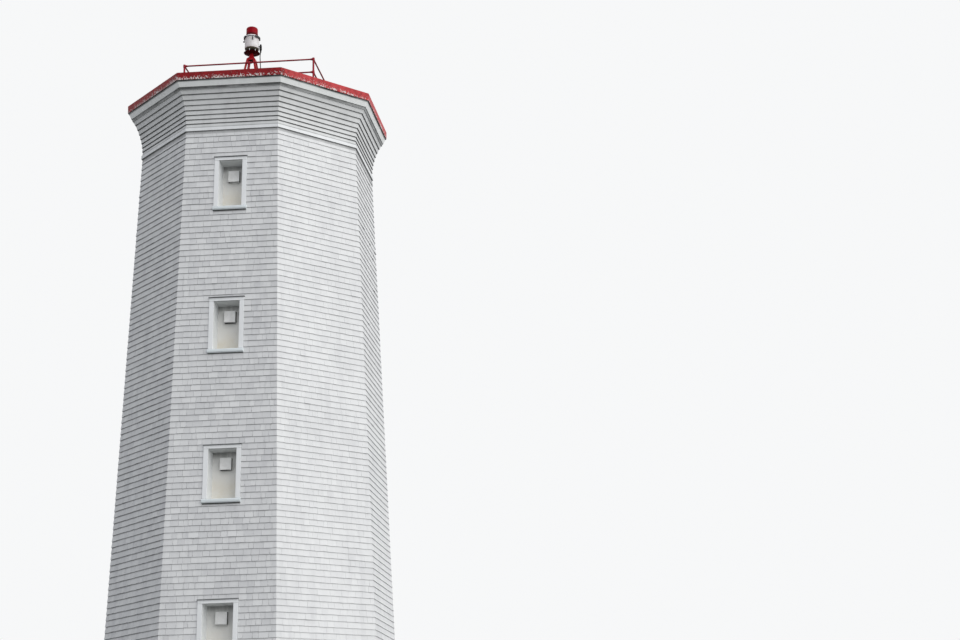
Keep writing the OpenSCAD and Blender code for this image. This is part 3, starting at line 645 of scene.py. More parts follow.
def red_paint(name, red, dull, under, lost, heights, roughness=0.5, flakes=16.0, underside_shade=0.6, worn_side=None,
              sunny_side=None, blotches=2.5, patchy=0.35, shine=0.2):
    """Red that fades to dull and peels down to the colour under it. Lost is the share of paint gone at each
    of two heights. Flakes and blotches are how fine the flakes and the faded patches are, patchy how far the
    flakes gather, and shine the specular level. A worn side is two places along X and the extra loss that
    grows from the first to the second; a sunny side is two such places and the colour past the second."""
    made, tree, shader = material(name, roughness, Specular_IOR_Level=shine)
    place = put(tree, "ShaderNodeSeparateXYZ", {0: where(tree)}).outputs
    loss = between(tree, place["Z"], *heights, *lost)
    if worn_side:
        start, end, more = worn_side
        loss = maths(tree, "ADD", loss, between(tree, place["X"], start, end, 0.0, more))
    bare = use_group(tree, peeling, Flakes=flakes, Loss=loss, Patchy=patchy)["Bare"]
    marks = use_group(tree, weather, Blotches=blotches, Runs=9.0)
    faded = weighed(tree, marks["Blotch"], 0.6, marks["Run"], 0.4)
    sound = blend(tree, faded, red, dull)
    if sunny_side:
        start, end, bleached = sunny_side
        sunlit = between(tree, place["X"], start, end)
        bleaching = maths(tree, "SUBTRACT", sunlit, maths(tree, "MULTIPLY", faded, 0.85), True)
        sound = blend(tree, bleaching, sound, bleached)
    # Faces that look down are darkened as painted shade, by the underside share.
    colour = shaded_below(tree, blend(tree, bare, sound, under), underside_shade)
    dress(tree, shader, colour, bare, 0.0015, 0.6, between(tree, bare, 0.0, 1.0, roughness, 0.8), invert=True)
    return made


band_low, band_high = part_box("red_fascia")
# The fascia's underside is near black as painted shade, for the dark line under the band.
fascia_paint = red_paint("fascia_paint", (0.32, 0.011, 0.015, 1), (0.15, 0.009, 0.010, 1),
                         (0.78, 0.72, 0.70, 1), (0.513, 0.365), (band_low.z, band_high.z), flakes=30.0,
                         underside_shade=0.95, worn_side=(1.0, 1.5, -0.022),
                         sunny_side=(0.9, 1.4, (0.60, 0.060, 0.065, 1)), blotches=13.0, patchy=0.18)
# The rails, and the deck below, darken on their undersides as painted shade by the default share.
rail_paint = red_paint("rail_paint", (0.37, 0.010, 0.026, 1), (0.19, 0.010, 0.020, 1), RUST,
                       (0.36, 0.34), (deck, deck + 1.0), 0.45, flakes=40.0)
# The stand's undersides, up in the hollow under its shoulder, are near black as painted shade.
stand_paint = red_paint("stand_paint", (0.42, 0.006, 0.014, 1), (0.30, 0.008, 0.012, 1), RUST,
                        (0.36, 0.32), (deck, deck + 1.2), 0.45, flakes=30.0, underside_shade=0.97,
                        worn_side=(beacon[0] + 0.05, beacon[0] - 0.15, 0.16))
# The beacon's round plate is painted near black all over as painted shade, for its shaded underside.
plate_shade_paint = red_paint("plate_shade_paint", (0.09, 0.002, 0.004, 1), (0.05, 0.002, 0.003, 1),
                        (0.06, 0.02, 0.012, 1), (0.40, 0.40), (deck, deck + 2.0), 0.6, flakes=30.0, underside_shade=0.2,
                        shine=0.03)
deck_paint = red_paint("deck_paint", (0.30, 0.020, 0.024, 1), (0.20, 0.024, 0.024, 1), (0.30, 0.26, 0.24, 1),
                       (0.42, 0.42), (deck, deck + 1.0), 0.6, flakes=7.0)
print("fascia from", round(band_low.z, 2), "to", round(band_high.z, 2), "m")


# %% [markdown]
# ## Metal, rubber and stone
# The smaller finishes share one recipe: a base colour that drifts to a second one in blotches, a roughness
# that follows, and a faint bump. Bronze and zinc are metallic; enamel and rubber are not. The foundation's
# stone gets a stronger bump and a wider spread of colour, and the vents' sides and undersides are darkened
# as painted shade.

# %% Metal, rubber and stone
def mottled(name, colour, second, roughness, fineness, metallic=0.0, relief=0.0004, spread=0.2, tones=0.0,
            side_shade=0.0, shine=0.5):
    """Two colours in blotches, as on cast metal, enamel, rubber or stone. Spread is how much rougher the
    blotches are, and relief their height in metres. Tones is the share of the second colour that a whole
    stone may have by its own tone. The side share darkens the faces along X and the undersides as
    painted shade."""
    made, tree, shader = material(name, roughness, metallic, Specular_IOR_Level=shine)
    marks = use_group(tree, weather, Blotches=fineness, Runs=14.0)
    share = marks["Blotch"]
    if tones:
        share = weighed(tree, share, 1 - tones, marked(tree, "tone"), tones)
    mixed = blend(tree, share, colour, second)
    if side_shade:
        facing = one_axis(tree, put(tree, "ShaderNodeNewGeometry").outputs["Normal"], "X")
        side_shade_mask = between(tree, maths(tree, "ABSOLUTE", facing, 0.0), 0.6, 0.9, 0.0, side_shade)
        mixed = blend(tree, maths(tree, "MAXIMUM", side_shade_mask, use_group(tree, underside)["Down"]), mixed, SHADE_COLOUR)
    rough = between(tree, marks["Blotch"], 0.0, 1.0, roughness, roughness + spread)
    dress(tree, shader, mixed, marks["Blotch"], relief, 0.6, rough)
    return made


enamel = mottled("enamel", grey(0.84, (1, 1, 1.01)), grey(0.74, (1, 0.995, 0.97)), 0.5, 9.0)
bronze = mottled("bronze", (0.070, 0.060, 0.032, 1), (0.026, 0.024, 0.014, 1), 0.55, 20.0, metallic=0.3)
zinc = mottled("zinc", grey(0.72), grey(0.55, (1, 1, 1.03)), 0.4, 50.0, metallic=0.5)
dull_metal = mottled("dull_metal", grey(0.06, (0.92, 1, 1.05)), grey(0.03, (0.9, 1, 1.05)), 0.55, 40.0,
                     metallic=0.1, shine=0.25)
ring_metal = mottled("ring_metal", grey(0.30, (0.95, 1, 1.03)), grey(0.17, (0.95, 1, 1.03)), 0.45, 40.0,
                     metallic=0.3)
black_iron = mottled("black_iron", grey(0.035), grey(0.06, (1.1, 0.95, 0.85)), 0.5, 40.0, metallic=0.4)
rubber = mottled("rubber", grey(0.014), grey(0.028), 0.6, 60.0, shine=0.12)
# The vents' sides and undersides are near black as painted shade, for the dark gaps round each hood.
vent_paint = mottled("vent_paint", grey(0.93, (1, 1, 0.985)), grey(0.84, (1, 1, 0.98)), 0.4, 12.0,
                     side_shade=0.95)
stone = mottled("stone", (0.36, 0.34, 0.31, 1), (0.17, 0.165, 0.16, 1), 0.8, 9.0, relief=0.006, spread=0.1,
                tones=0.5)
mortar = mottled("mortar", (0.42, 0.40, 0.36, 1), (0.30, 0.285, 0.26, 1), 0.9, 18.0, relief=0.003,
                 spread=0.05)
print("materials, the CAD's own among them:", len(bpy.data.materials))

# %% [markdown]
# ## The red cap
# The cap is a moulded crimson hood. It is darker at its foot, on a thick rim, and round its crown, where the
# darkening is painted shade, and brightest in its middle. Two masks on the height give the rim and the crown
# their darker tone, and the shine is kept low and broad.

# %% Cap paint
CAP_RIM, CAP_CROWN = 0.055, 0.045
cap_low, cap_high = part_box("beacon_cap")
cap_red, tree, shader = material("cap_red", 0.35, Specular_IOR_Level=0.08)
height = one_axis(tree, where(tree), "Z")
marks = use_group(tree, weather, Blotches=8.0, Runs=20.0)
clear = blend(tree, marks["Blotch"], (0.34, 0.001, 0.010, 1), (0.24, 0.001, 0.008, 1))
rim_share = between(tree, height, cap_low.z + 1.15 * CAP_RIM, cap_low.z + 0.85 * CAP_RIM, 0.0, 0.8)
# Painted shade darkens the crown; the rim is darker towards its foot.
crown_shade = between(tree, height, cap_high.z - CAP_CROWN, cap_high.z, 0.0, 0.6)
rim_and_crown_dark = maths(tree, "MAXIMUM", rim_share, crown_shade)
dress(tree, shader, blend(tree, rim_and_crown_dark, clear, (0.07, 0.002, 0.005, 1)), marks["Run"], 0.0004, 0.4)
print("cap", round(cap_high.z - cap_low.z, 3), "m high")

# %% [markdown]
# ## Nearly sixteen thousand shingles
# The walls are clad in wooden shingles laid with five inches to the weather. Each is a real wedge: thick at
# its butt, thin at its tip, and resting on the course below. A texture could draw the lines, but it
# would not give the small shadows under the butts that make the courses read from forty metres away.
#
# A course is cut into shingles of random widths. The first and the last reach past the corner and are clipped
# at the plane through it, at every point's own height and depth, so neighbouring walls meet in a clean mitre.
#
# Each wall differs, so four lists run round the tower from the front to its right: the widest joint, how much
# further the painted shade reaches down from the butts, more on the sides that get less light, how far the
# shingles' tones spread, and over how many courses `eave` runs, of which the painted shade under the cornice
# fills the upper half. A shingle that a sill cuts off gets deeper painted shade at its edge.

# %% Courses and windows
EXPOSURE = 0.127
TOP_COURSE = 0.137
SHINGLE = 0.165
BUTT, TIP = 0.012, 0.0015
STAND = 0.018
NARROW, BROAD = 0.085, 0.215
FIT = 0.002
SIDE_NAMES = ["front", "front_right", "right", "back_right", "back", "back_left", "left", "front_left"]
SIDE_JOINT = [0.007, 0.002, 0.003, 0.005, 0.006, 0.006, 0.005, 0.006]
SIDE_SHADE = [-0.03, -0.10, -0.07, 0, 0.02, 0.04, 0.04, 0.10]
SIDE_TONE = [1.0, 0.45, 0.5, 0.7, 0.8, 0.8, 0.8, 0.8]
SIDE_EAVE = [1.0, 1.0, 2.0, 1.6, 1.3, 1.3, 1.3, 1.4]
EDGE_SHADE = 0.2

cornice_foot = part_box("cornice_trim")[0].z
butts = np.arange(cornice_foot - TOP_COURSE, wall_foot + 0.01, -EXPOSURE)
casings, frame_points = points_of("front_casings"), points_of("door_frame")
drip_top, head_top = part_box("drip_caps")[1].z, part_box("front_casings")[1].z
sill_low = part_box("front_sills")[0].z


def half_width(points, low, high):
    """Half the width of the points between two heights, and a hair of room round them."""
    return points[(points[:, 2] > low) & (points[:, 2] < high), 0].max() + FIT


def openings(side):
    """Holes in one side's shingling as (half width, low, high): the window column, and the doorway behind."""
    if side not in (0, SIDES // 2):
        return []
    lows = sill_low + np.arange(WINDOWS) * WINDOW_PITCH
    highs = drip_top + (np.arange(WINDOWS) + 1 - WINDOWS) * WINDOW_PITCH
    holes = [(half_width(casings, low, high), low, high) for low, high in zip(lows, highs)]
    if side == SIDES // 2:
        low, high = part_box("door_frame")
        holes.append((half_width(frame_points, high.z - 1, high.z + 1), low.z, high.z + drip_top - head_top))
    return holes


print("courses:", len(butts), "from", round(butts[-1], 2), "to", round(butts[0], 2), "m")
print("half widths of the window holes:", [round(hole[0], 3) for hole in openings(0)])


# %% Rows of shingles
PAST_CORNER = 9.0


def course_cuts(rng, left, right, narrow=NARROW, broad=BROAD):
    """Places of the joints in one course: random widths laid from the left until the right is reached."""
    widths = rng.uniform(narrow, broad, int((right - left) / narrow) + 1)
    cuts = left + np.cumsum(widths)
    return np.concatenate([[left], cuts[cuts < right - narrow * 0.6], [right]])


def shingle_rows(side, rng):
    """One row for each shingle of a side: left, right, butt height, tip height, and its course's height."""
    rows = []
    for butt in butts:
        half, tip = SPREAD * boards(butt), butt + SHINGLE
        stretches = [(-half, half, butt, tip)]
        for hole, low, high in openings(side):
            if tip > low and butt < high:
                stretches = [(-half, -hole, butt, tip), (hole, half, butt, tip)]
                if butt < low:
                    stretches.append((-hole, hole, butt, low))
                if tip > high:
                    stretches.append((-hole, hole, max(butt, high), tip))
        for left, right, low, high in stretches:
            cuts = course_cuts(rng, left, right)
            gaps = rng.uniform(0.2, 1.0, len(cuts)) * SIDE_JOINT[side]
            a, b = cuts[:-1] + gaps[:-1] / 2, cuts[1:] - gaps[1:] / 2
            if left == -half:
                a[0] = -PAST_CORNER
            if right == half:
                b[-1] = PAST_CORNER
            rows.append(table(a, b, low, high, butt))
    return np.vstack(rows)


# %% Shingle wedges
UNEVEN, LIFT = 0.003, 0.001
LOOSE_SHARE, LOOSE_LIFT = 0.004, 0.007


def shingle_part(side, rng):
    """Eight corners for each shingle, and the tone and the rise of each corner. A face stands STAND out at
    the butt and falls by BUTT in one exposure; the back lies BUTT under it at the butt and TIP at the tip.
    Rise is 1 at the edge above, be it a butt, a sill or the cornice's foot, and 0 one exposure lower; an
    offset of painted shade is added, which moves the shade under that edge down, or up where it is below
    zero."""
    left, right, low, high, butt = shingle_rows(side, rng).T
    count = len(left)
    low = low + np.where(low == butt, rng.uniform(-UNEVEN, UNEVEN, count), 0)
    lift = rng.normal(0, LIFT, count) + np.where(rng.random(count) < LOOSE_SHARE, LOOSE_LIFT, 0)
    z = table(low, low, high, high)
    above_butt = z - butt[:, None]
    face = STAND - above_butt * BUTT / EXPOSURE + lift[:, None] * np.array([1, 1, 0, 0])
    thick = BUTT + (TIP - BUTT) * above_butt / SHINGLE
    out = np.where([True, False, True, False], face - thick, face)
    next_butt = np.where(butt > butts[0] - 0.001, cornice_foot, butt + EXPOSURE)
    edge = np.minimum(next_butt, high)
    # Offset of painted shade: the larger one under a sill, the side's own one elsewhere.
    painted_shade = np.where(edge == high, EDGE_SHADE, SIDE_SHADE[side])
    rise = np.tile(1 + (z - edge[:, None]) / EXPOSURE + painted_shade[:, None], 2).ravel()
    tones = np.repeat(rng.random(count) * SIDE_TONE[side], 8)
    return clipped_blocks(side, left, right, boards(z) + out, z), tones, rise


# %% Shingles on the eight sides
shingle_total = 0
for side, side_name in enumerate(SIDE_NAMES):
    part, tones, rise = shingle_part(side, np.random.default_rng(40 + side))
    mesh = mesh_of(f"{side_name}_shingles", part)
    below_cornice = (cornice_foot - places_of(mesh)[:, 2]) / EXPOSURE
    for title, values in (("tone", tones), ("rise", rise), ("eave", 1 - below_cornice / SIDE_EAVE[side])):
        mark_points(mesh, title, values)
    add_piece(f"{side_name}_shingles", mesh, shingle_paint, "painted_wall", smooth=False)
    shingle_total += len(tones) // 8
print("shingles:", shingle_total)


# %% [markdown]
# ## Boards with eased edges
# No sawn and painted board has a knife edge. The CAD boards are copied, their loose triangles are welded and
# merged back into whole faces, and a narrow bevel rounds every edge. The copy then stands for its CAD piece.

# %% Eased boards
def eased(node, width, finish, slot):
    """Copy of a CAD node with welded faces and a narrow bevel on its edges, in place of the node. Its points
    carry their climb, from 0 at the foot of the piece to 1 at its top, and 1 as corner at inner corners."""
    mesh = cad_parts[node].data.copy()
    shape = bmesh.new()
    shape.from_mesh(mesh)
    bmesh.ops.remove_doubles(shape, verts=shape.verts, dist=2e-5)
    bmesh.ops.dissolve_limit(shape, angle_limit=math.radians(0.5), verts=shape.verts, edges=shape.edges)
    # Inner corners are marked, where the clapboards get painted shade.
    corner = shape.verts.layers.float.new("corner")
    for edge in shape.edges:
        if edge.is_manifold and not edge.is_convex:
            edge.verts[0][corner] = edge.verts[1][corner] = 1
    shape.to_mesh(mesh)
    shape.free()
    heights = places_of(mesh)[:, 2]
    mark_points(mesh, "climb", (heights - heights.min()) / np.ptp(heights))
    finish_node(node, mesh, finish, slot, smooth=False, ease=width)


for node, width, finish, slot in (
    ("front_casings", 0.004, trim_paint, "white_trim"),
    ("back_casings", 0.004, trim_paint, "white_trim"),
    ("front_sills", 0.005, sill_paint, "white_trim"),
    ("back_sills", 0.005, sill_paint, "white_trim"),
    ("drip_caps", 0.003, drip_shade_paint, "white_trim"),
    ("front_vents", 0.003, vent_paint, "vent_paint"),
    ("back_vents", 0.003, vent_paint, "vent_paint"),
    ("door_frame", 0.004, trim_paint, "white_trim"),
    ("cornice_trim", 0.004, foot_paint, "white_trim"),
    ("cornice_clapboards", 0.0015, clapboard_paint, "clapboard_paint"),
    ("bed_mould", 0.003, mould_shade_paint, "white_trim"),
    ("frieze_boards", 0.004, frieze_paint, "white_trim"),
    ("red_fascia", 0.006, fascia_paint, "red_fascia_paint"),
    ("roof_hatch", 0.006, deck_paint, "deck_paint"),
    ("entrance_step", 0.012, stone, "masonry"),
    ("beacon_stand", 0.002, stand_paint, "red_metal"),
    ("entrance_door", 0.002, door_paint, "door_paint"),
):
    eased(node, width, finish, slot)

# %% Finishes of the pieces that stay as they are
plain_nodes = {
    wall_paint: [f"{name}_wall" for name in SIDE_NAMES],
    panel_paint: ["front_panels", "back_panels"],
    bare_timber: ["cornice_core"],
    floor_timber: ["ground_floor", "upper_floors"],
    mortar: ["foundation"],
    deck_paint: ["roof_deck"],
    zinc: ["levelling_studs"],
    black_iron: ["deck_gland"],
}
for finish, members in plain_nodes.items():
    for member in members:
        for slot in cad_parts[member].material_slots:
            slot.material = finish
print("pieces kept from the CAD:", sum(len(members) for members in plain_nodes.values()))

# %% [markdown]
# ## Stones of the foundation
# The tower stands on a low eight-sided footing of squared stones in two courses. The CAD block shows as the
# mortar between them. A stone is the same kind of block as a shingle, only larger, so the two share their
# corner cut. Its corners are moved by a few millimetres at random, because such stones are dressed by hand.

# %% Foundation stones
STONE_COURSES = 2
STONE_PROUD = 0.008
STONE_DEPTH = 0.05
STONE_JOINT = 0.014
STONE_SHORT, STONE_LONG = 0.34, 0.72
STONE_OVER = 0.003
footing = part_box("foundation")[1]


def stone_part(side, rng):
    """Courses of blocks from the ground to the footing's top, proud of it by STONE_PROUD, with a random tone
    for each. The lowest course has no joint under it, and the highest stands STONE_OVER above the footing."""
    half = SPREAD * footing.x
    height = footing.z / STONE_COURSES
    rows = []
    for course in range(STONE_COURSES):
        cuts = course_cuts(rng, -half, half, STONE_SHORT, STONE_LONG)
        rows.append(table(cuts[:-1] + STONE_JOINT / 2, cuts[1:] - STONE_JOINT / 2, course * height))
    left, right, low = np.vstack(rows).T
    z = low[:, None] + np.array([STONE_JOINT / 2, STONE_JOINT / 2, height, height])
    z[:, :2] *= low[:, None] > 0
    z[:, 2:] -= np.where(low[:, None] + height < footing.z - 0.01, STONE_JOINT / 2, -STONE_OVER)
    distance = footing.x + STONE_PROUD - np.array([STONE_DEPTH, 0, STONE_DEPTH, 0]) * np.ones_like(z)
    distance[:, [1, 3]] += rng.uniform(-0.004, 0.001, (len(left), 2))
    return clipped_blocks(side, left, right, distance, z), np.repeat(rng.random(len(left)), 8)


laid = [stone_part(side, np.random.default_rng(60 + side)) for side in range(SIDES)]
mesh = mesh_of("foundation_stones", stack([part for part, _ in laid]))
mark_points(mesh, "tone", np.concatenate([tones for _, tones in laid]))
add_piece("foundation_stones", mesh, stone, "masonry", smooth=False, ease=0.006)
print("foundation stones:", sum(len(tones) for _, tones in laid) // 8)

# %% [markdown]
# ## The deck and its hatch
# The roof is covered in painted sheets, lapped along straight seams that shed water to the edge. A seam is a
# low strip across the octagon, so its length at a place x follows from the four pairs of parallel sides.
# The hatch gets the three things a hand looks for: a lifting handle, two hinges and a hasp.

# %% Seams of the deck
SEAM_PITCH, SEAM_W, SEAM_H = 0.60, 0.034, 0.005
BEDDED = 0.002

deck_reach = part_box("roof_deck")[1].x
seam_x = np.arange(-3.5, 4) * SEAM_PITCH
seam_half = np.minimum(deck_reach, deck_reach * math.sqrt(2) - abs(seam_x) - SEAM_W) - 0.01
seams = boxes(table(seam_x - SEAM_W / 2, -seam_half, deck - BEDDED),
              table(seam_x + SEAM_W / 2, seam_half, deck + SEAM_H))
add_piece("deck_seams", seams, deck_paint, "deck_paint", smooth=False, ease=0.003)
print("deck seams:", len(seam_x))

# %% Handle, hinges and hasp of the hatch
HANDLE_HALF, HANDLE_H, HANDLE_R, HANDLE_IN = 0.075, 0.05, 0.008, 0.09
HINGE_X, HINGE_HALF, HINGE_R = 0.24, 0.045, 0.010
LEAF_HALF, LEAF_L = 0.035, 0.12
HASP_HALF, HASP_L = 0.02, 0.075
hatch_low, hatch_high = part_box("roof_hatch")
front_edge, back_edge = hatch_low.y, hatch_high.y


def on_lid(x, y, z):
    """Place on the hatch: x from its middle, y in the tower's frame, z from the top of its lid."""
    return (hatch_low.x + hatch_high.x) / 2 + x, y, hatch_high.z + z


handle_y, hinge_y = front_edge + HANDLE_IN, back_edge + 0.008
hardware = [pipe(on_lid(-HANDLE_HALF, handle_y, HANDLE_H), on_lid(HANDLE_HALF, handle_y, HANDLE_H), HANDLE_R)]
for way in (-1, 1):
    foot, hinge = way * (HANDLE_HALF - HANDLE_R), way * HINGE_X
    leaf = hinge - LEAF_HALF, hinge + LEAF_HALF
    hardware += [
        pipe(on_lid(foot, handle_y, -BEDDED), on_lid(foot, handle_y, HANDLE_H), HANDLE_R),
        pipe(on_lid(hinge - HINGE_HALF, hinge_y, 0.004), on_lid(hinge + HINGE_HALF, hinge_y, 0.004), HINGE_R),
        boxes(on_lid(leaf[0], back_edge - LEAF_L, -0.001), on_lid(leaf[1], back_edge, 0.005)),
    ]
hardware.append(boxes(on_lid(-HASP_HALF, front_edge - 0.007, -HASP_L),
                      on_lid(HASP_HALF, front_edge + BEDDED, -0.004)))
add_piece("hatch_hardware", stack(hardware), black_iron, "grey_metal")
print("hatch hardware:", len(hardware), "parts")

# %% [markdown]
# ## The pipe railing
# The railing is steel pipe held in slip-on fittings. The CAD railing says where each post and rail stands.
# Its pieces are made again from turned parts, whose rims are rounded as on real castings: a flange and a post
# for each place, and at every rail's height a body with its sockets.

# %% Posts and their fittings
RAIL_R, POST_R = 0.01685, 0.0212
RAIL_ROWS = 3
FLANGE_R, FLANGE_T, NECK_H = 0.060, 0.010, 0.035
SOCKET_START, SOCKET_REACH = 0.004, 0.062
BOLT_R, BOLT_H, BOLT_AT = 0.009, 0.008, 0.031
FOUR_WAYS = [(x, y) for x in (-1, 1) for y in (-1, 1)]

rails_high, posts_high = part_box("railing_rails")[1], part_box("railing_posts")[1]
rail_x, rail_y = rails_high.x - RAIL_R, rails_high.y - RAIL_R
rail_top = rails_high.z - RAIL_R - deck
rail_heights = deck + rail_top * np.arange(1, RAIL_ROWS + 1) / RAIL_ROWS
body_half = posts_high.z - deck - rail_top
fitting_r = body_half / 1.2


def bolt(x, y):
    """Hexagonal head with an eased top, on a flange that lies on the deck."""
    return stub((x, y, deck + FLANGE_T), BOLT_R, -BEDDED, BOLT_H, 0.0015, segments=6)


post_parts, bolts = [], []
for x, y in [(x, y) for x in (-rail_x, 0, rail_x) for y in (-rail_y, rail_y)]:
    post_parts += [
        pipe((x, y, deck), (x, y, deck + rail_top), POST_R),
        stub((x, y, deck), FLANGE_R, 0, FLANGE_T, 0.003, segments=40),
        stub((x, y, deck), POST_R * 1.4, 0, NECK_H, 0.004),
    ]
    bolts += [bolt(x + way_x * BOLT_AT, y + way_y * BOLT_AT) for way_x, way_y in FOUR_WAYS]
    ways = [(1 if x < 0 else -1, 0, 0), (0, 1 if y < 0 else -1, 0)] if x else [(1, 0, 0), (-1, 0, 0)]
    for z in rail_heights:
        post_parts.append(stub((x, y, z), fitting_r, -body_half, body_half, 0.005))
        for way in ways:
            post_parts.append(stub((x, y, z), fitting_r * 0.84, SOCKET_START, SOCKET_REACH, 0.004, way))
finish_node("railing_posts", stack(post_parts), rail_paint, "red_metal")
print("railing posts and fittings:", len(post_parts), "bolts:", len(bolts))

# %% Rails
near, far_x, far_y = SOCKET_REACH, rail_x - SOCKET_REACH, rail_y - SOCKET_REACH
rail_parts = []
for z in rail_heights:
    for y in (-rail_y, rail_y):
        rail_parts += [pipe((way * near, y, z), (way * far_x, y, z), RAIL_R) for way in (-1, 1)]
    rail_parts += [pipe((x, -far_y, z), (x, far_y, z), RAIL_R) for x in (-rail_x, rail_x)]
finish_node("railing_rails", stack(rail_parts), rail_paint, "red_metal")
print("rails:", len(rail_parts))

# %% [markdown]
# ## The beacon
# The beacon is a row of turned metal shells on one axis, so each is a profile of radius and height, read off
# the box of the CAD piece that it stands for. What Blender adds is the lathe's detail: rolled rims, a bead
# under the clamp, a thick rim on the cap, and two curved shoes on the clamp ring with a latch and a knob.

# %% Shells of the beacon
def on_axis(node):
    """Outer radius, foot and head of a CAD piece that stands on the beacon's axis."""
    low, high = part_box(node)
    return (high.y - low.y) / 2, low.z, high.z


def lathe(node, finish, slot, *outline):
    """Outline of points and arcs turned about the beacon's axis, in place of a CAD piece."""
    finish_node(node, placed(turned(np.vstack(outline), 96), (*beacon, 0)), finish, slot)


cap_r, low, high = on_axis("beacon_cap")
lathe("beacon_cap", cap_red, "red_lens_cap",
      (0, low), arc(cap_r - 0.004, low + 0.004, 0.004, -90, 0),
      arc(cap_r - 0.003, low + CAP_RIM - 0.003, 0.003, 0, 60), (cap_r - 0.002, low + CAP_RIM),
      arc(cap_r - 0.002 - CAP_CROWN, high - CAP_CROWN, CAP_CROWN, 0, 90, 12), (0, high))

collar_r, low, high = on_axis("beacon_collar")
lathe("beacon_collar", enamel, "white_enamel",
      (0, low), arc(collar_r - 0.003, low + 0.003, 0.003, -90, 45), (collar_r - 0.011, low + 0.011),
      arc(cap_r + 0.004, high - 0.004, 0.004, 20, 90), (0, high))

clamp_r, clamp_low, clamp_high = on_axis("clamp_ring")
lathe("clamp_ring", ring_metal, "grey_metal", rounded(clamp_r, clamp_low, clamp_high, 0.005))

drum_r, drum_low, drum_high = on_axis("beacon_drum")
lathe("beacon_drum", enamel, "white_enamel",
      (0, drum_low), arc(drum_r - 0.008, drum_low + 0.008, 0.008, -90, 0), (drum_r, drum_low + 0.030),
      arc(drum_r, drum_low + 0.036, 0.003, -90, 90), (drum_r, drum_low + 0.042), (drum_r, drum_high - 0.034),
      arc(drum_r, drum_high - 0.028, 0.004, -90, 90), (drum_r, drum_high - 0.022), (drum_r, drum_high),
      (0, drum_high))

base_r, low, high = on_axis("beacon_base")
lathe("beacon_base", bronze, "bronze",
      (0, low), arc(base_r - 0.004, low + 0.004, 0.004, -90, -20), (base_r + 0.004, high - 0.026),
      arc(drum_r - 0.007, high - 0.016, 0.004, -20, 0), (drum_r - 0.003, high), (0, high))

plate_r, low, high = on_axis("beacon_disc")
lathe("beacon_disc", plate_shade_paint, "red_metal",
      (0, low), (plate_r - 0.010, low), arc(plate_r - 0.003, high - 0.003, 0.003, -40, 90), (0, high))
print("drum", round(2 * drum_r, 3), "m wide, plate", round(2 * plate_r, 3), "m")

# %% Shoes, latch and knob
SHOE_T, SHOE_DROP, SHOE_ARC, SHOE_STARTS = 0.015, 0.024, 80, (-52, 152)
LATCH_W, LATCH_H, LATCH_TURN = 0.018, 0.062, math.radians(20)
TOGGLE_W, TOGGLE_T = 0.028, 0.016
KNOB_R, KNOB_L, KNOB_Z = 0.018, 0.046, 0.189

latch_foot = clamp_low - LATCH_H
lowest = [(-LATCH_W / 2, -clamp_r - 0.006, latch_foot + 0.012),
          (-TOGGLE_W / 2, -drum_r - TOGGLE_T, latch_foot - 0.026)]
highest = [(LATCH_W / 2, -drum_r, clamp_high - 0.004), (TOGGLE_W / 2, -drum_r + 0.004, latch_foot + 0.016)]
latch_points, latch_faces = boxes(lowest, highest)
latch = latch_points @ np.array(Matrix.Rotation(LATCH_TURN, 3, "Z")).T, latch_faces
shoes = [band(clamp_r - 0.006, clamp_r + SHOE_T, clamp_low - SHOE_DROP, clamp_high + 0.002,
              start, start + SHOE_ARC) for start in SHOE_STARTS]
finish_node("beacon_latches", placed(stack(shoes + [latch]), (*beacon, 0)), dull_metal, "grey_metal",
            smooth=False, ease=0.003)

knob_at = Vector((beacon[0] - drum_r + 0.004, beacon[1], drum_low + KNOB_Z))
outwards = Vector((-KNOB_L, 0, 0))
knob = stack([pipe(knob_at, knob_at + outwards * 0.6, KNOB_R * 0.85),
              pipe(knob_at + outwards * 0.5, knob_at + outwards, KNOB_R, 32)])
add_piece("beacon_side_knob", knob, ring_metal, "grey_metal")
print("clamp", round(clamp_low, 3), "to", round(clamp_high, 3), "m")

# %% Bolts of the stand and the railing
BOLT_FROM_EDGE, BOLT_INWARD = 0.022, 0.137
foot_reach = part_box("beacon_stand")[1].x - beacon[0]
far, near = foot_reach - BOLT_FROM_EDGE, foot_reach - BOLT_INWARD
bolts += [bolt(beacon[0] + way_x * x, beacon[1] + way_y * y)
          for way_x, way_y in FOUR_WAYS for x, y in ((far, near), (near, far), (near, near))]
add_piece("deck_bolts", stack(bolts), zinc, "zinc_steel", smooth=False)
print("bolts on the deck:", len(bolts))

# %% [markdown]
# ## Ironwork of the door
# A boarded door hangs on long straps that tie its boards together. They lie on the door's outer face, which
# is set back in the leaning wall, so its distance from the tower's axis is measured on the CAD door.

# %% Strap hinges
STRAP_L, STRAP_W, STRAP_T, STRAP_IN = 0.56, 0.045, 0.006, 0.30
RIVETS, RIVET_R, RIVET_H = (0.06, 0.28, 0.50), 0.011, 0.007
KNUCKLE_H, KNUCKLE_R = 0.10, 0.009

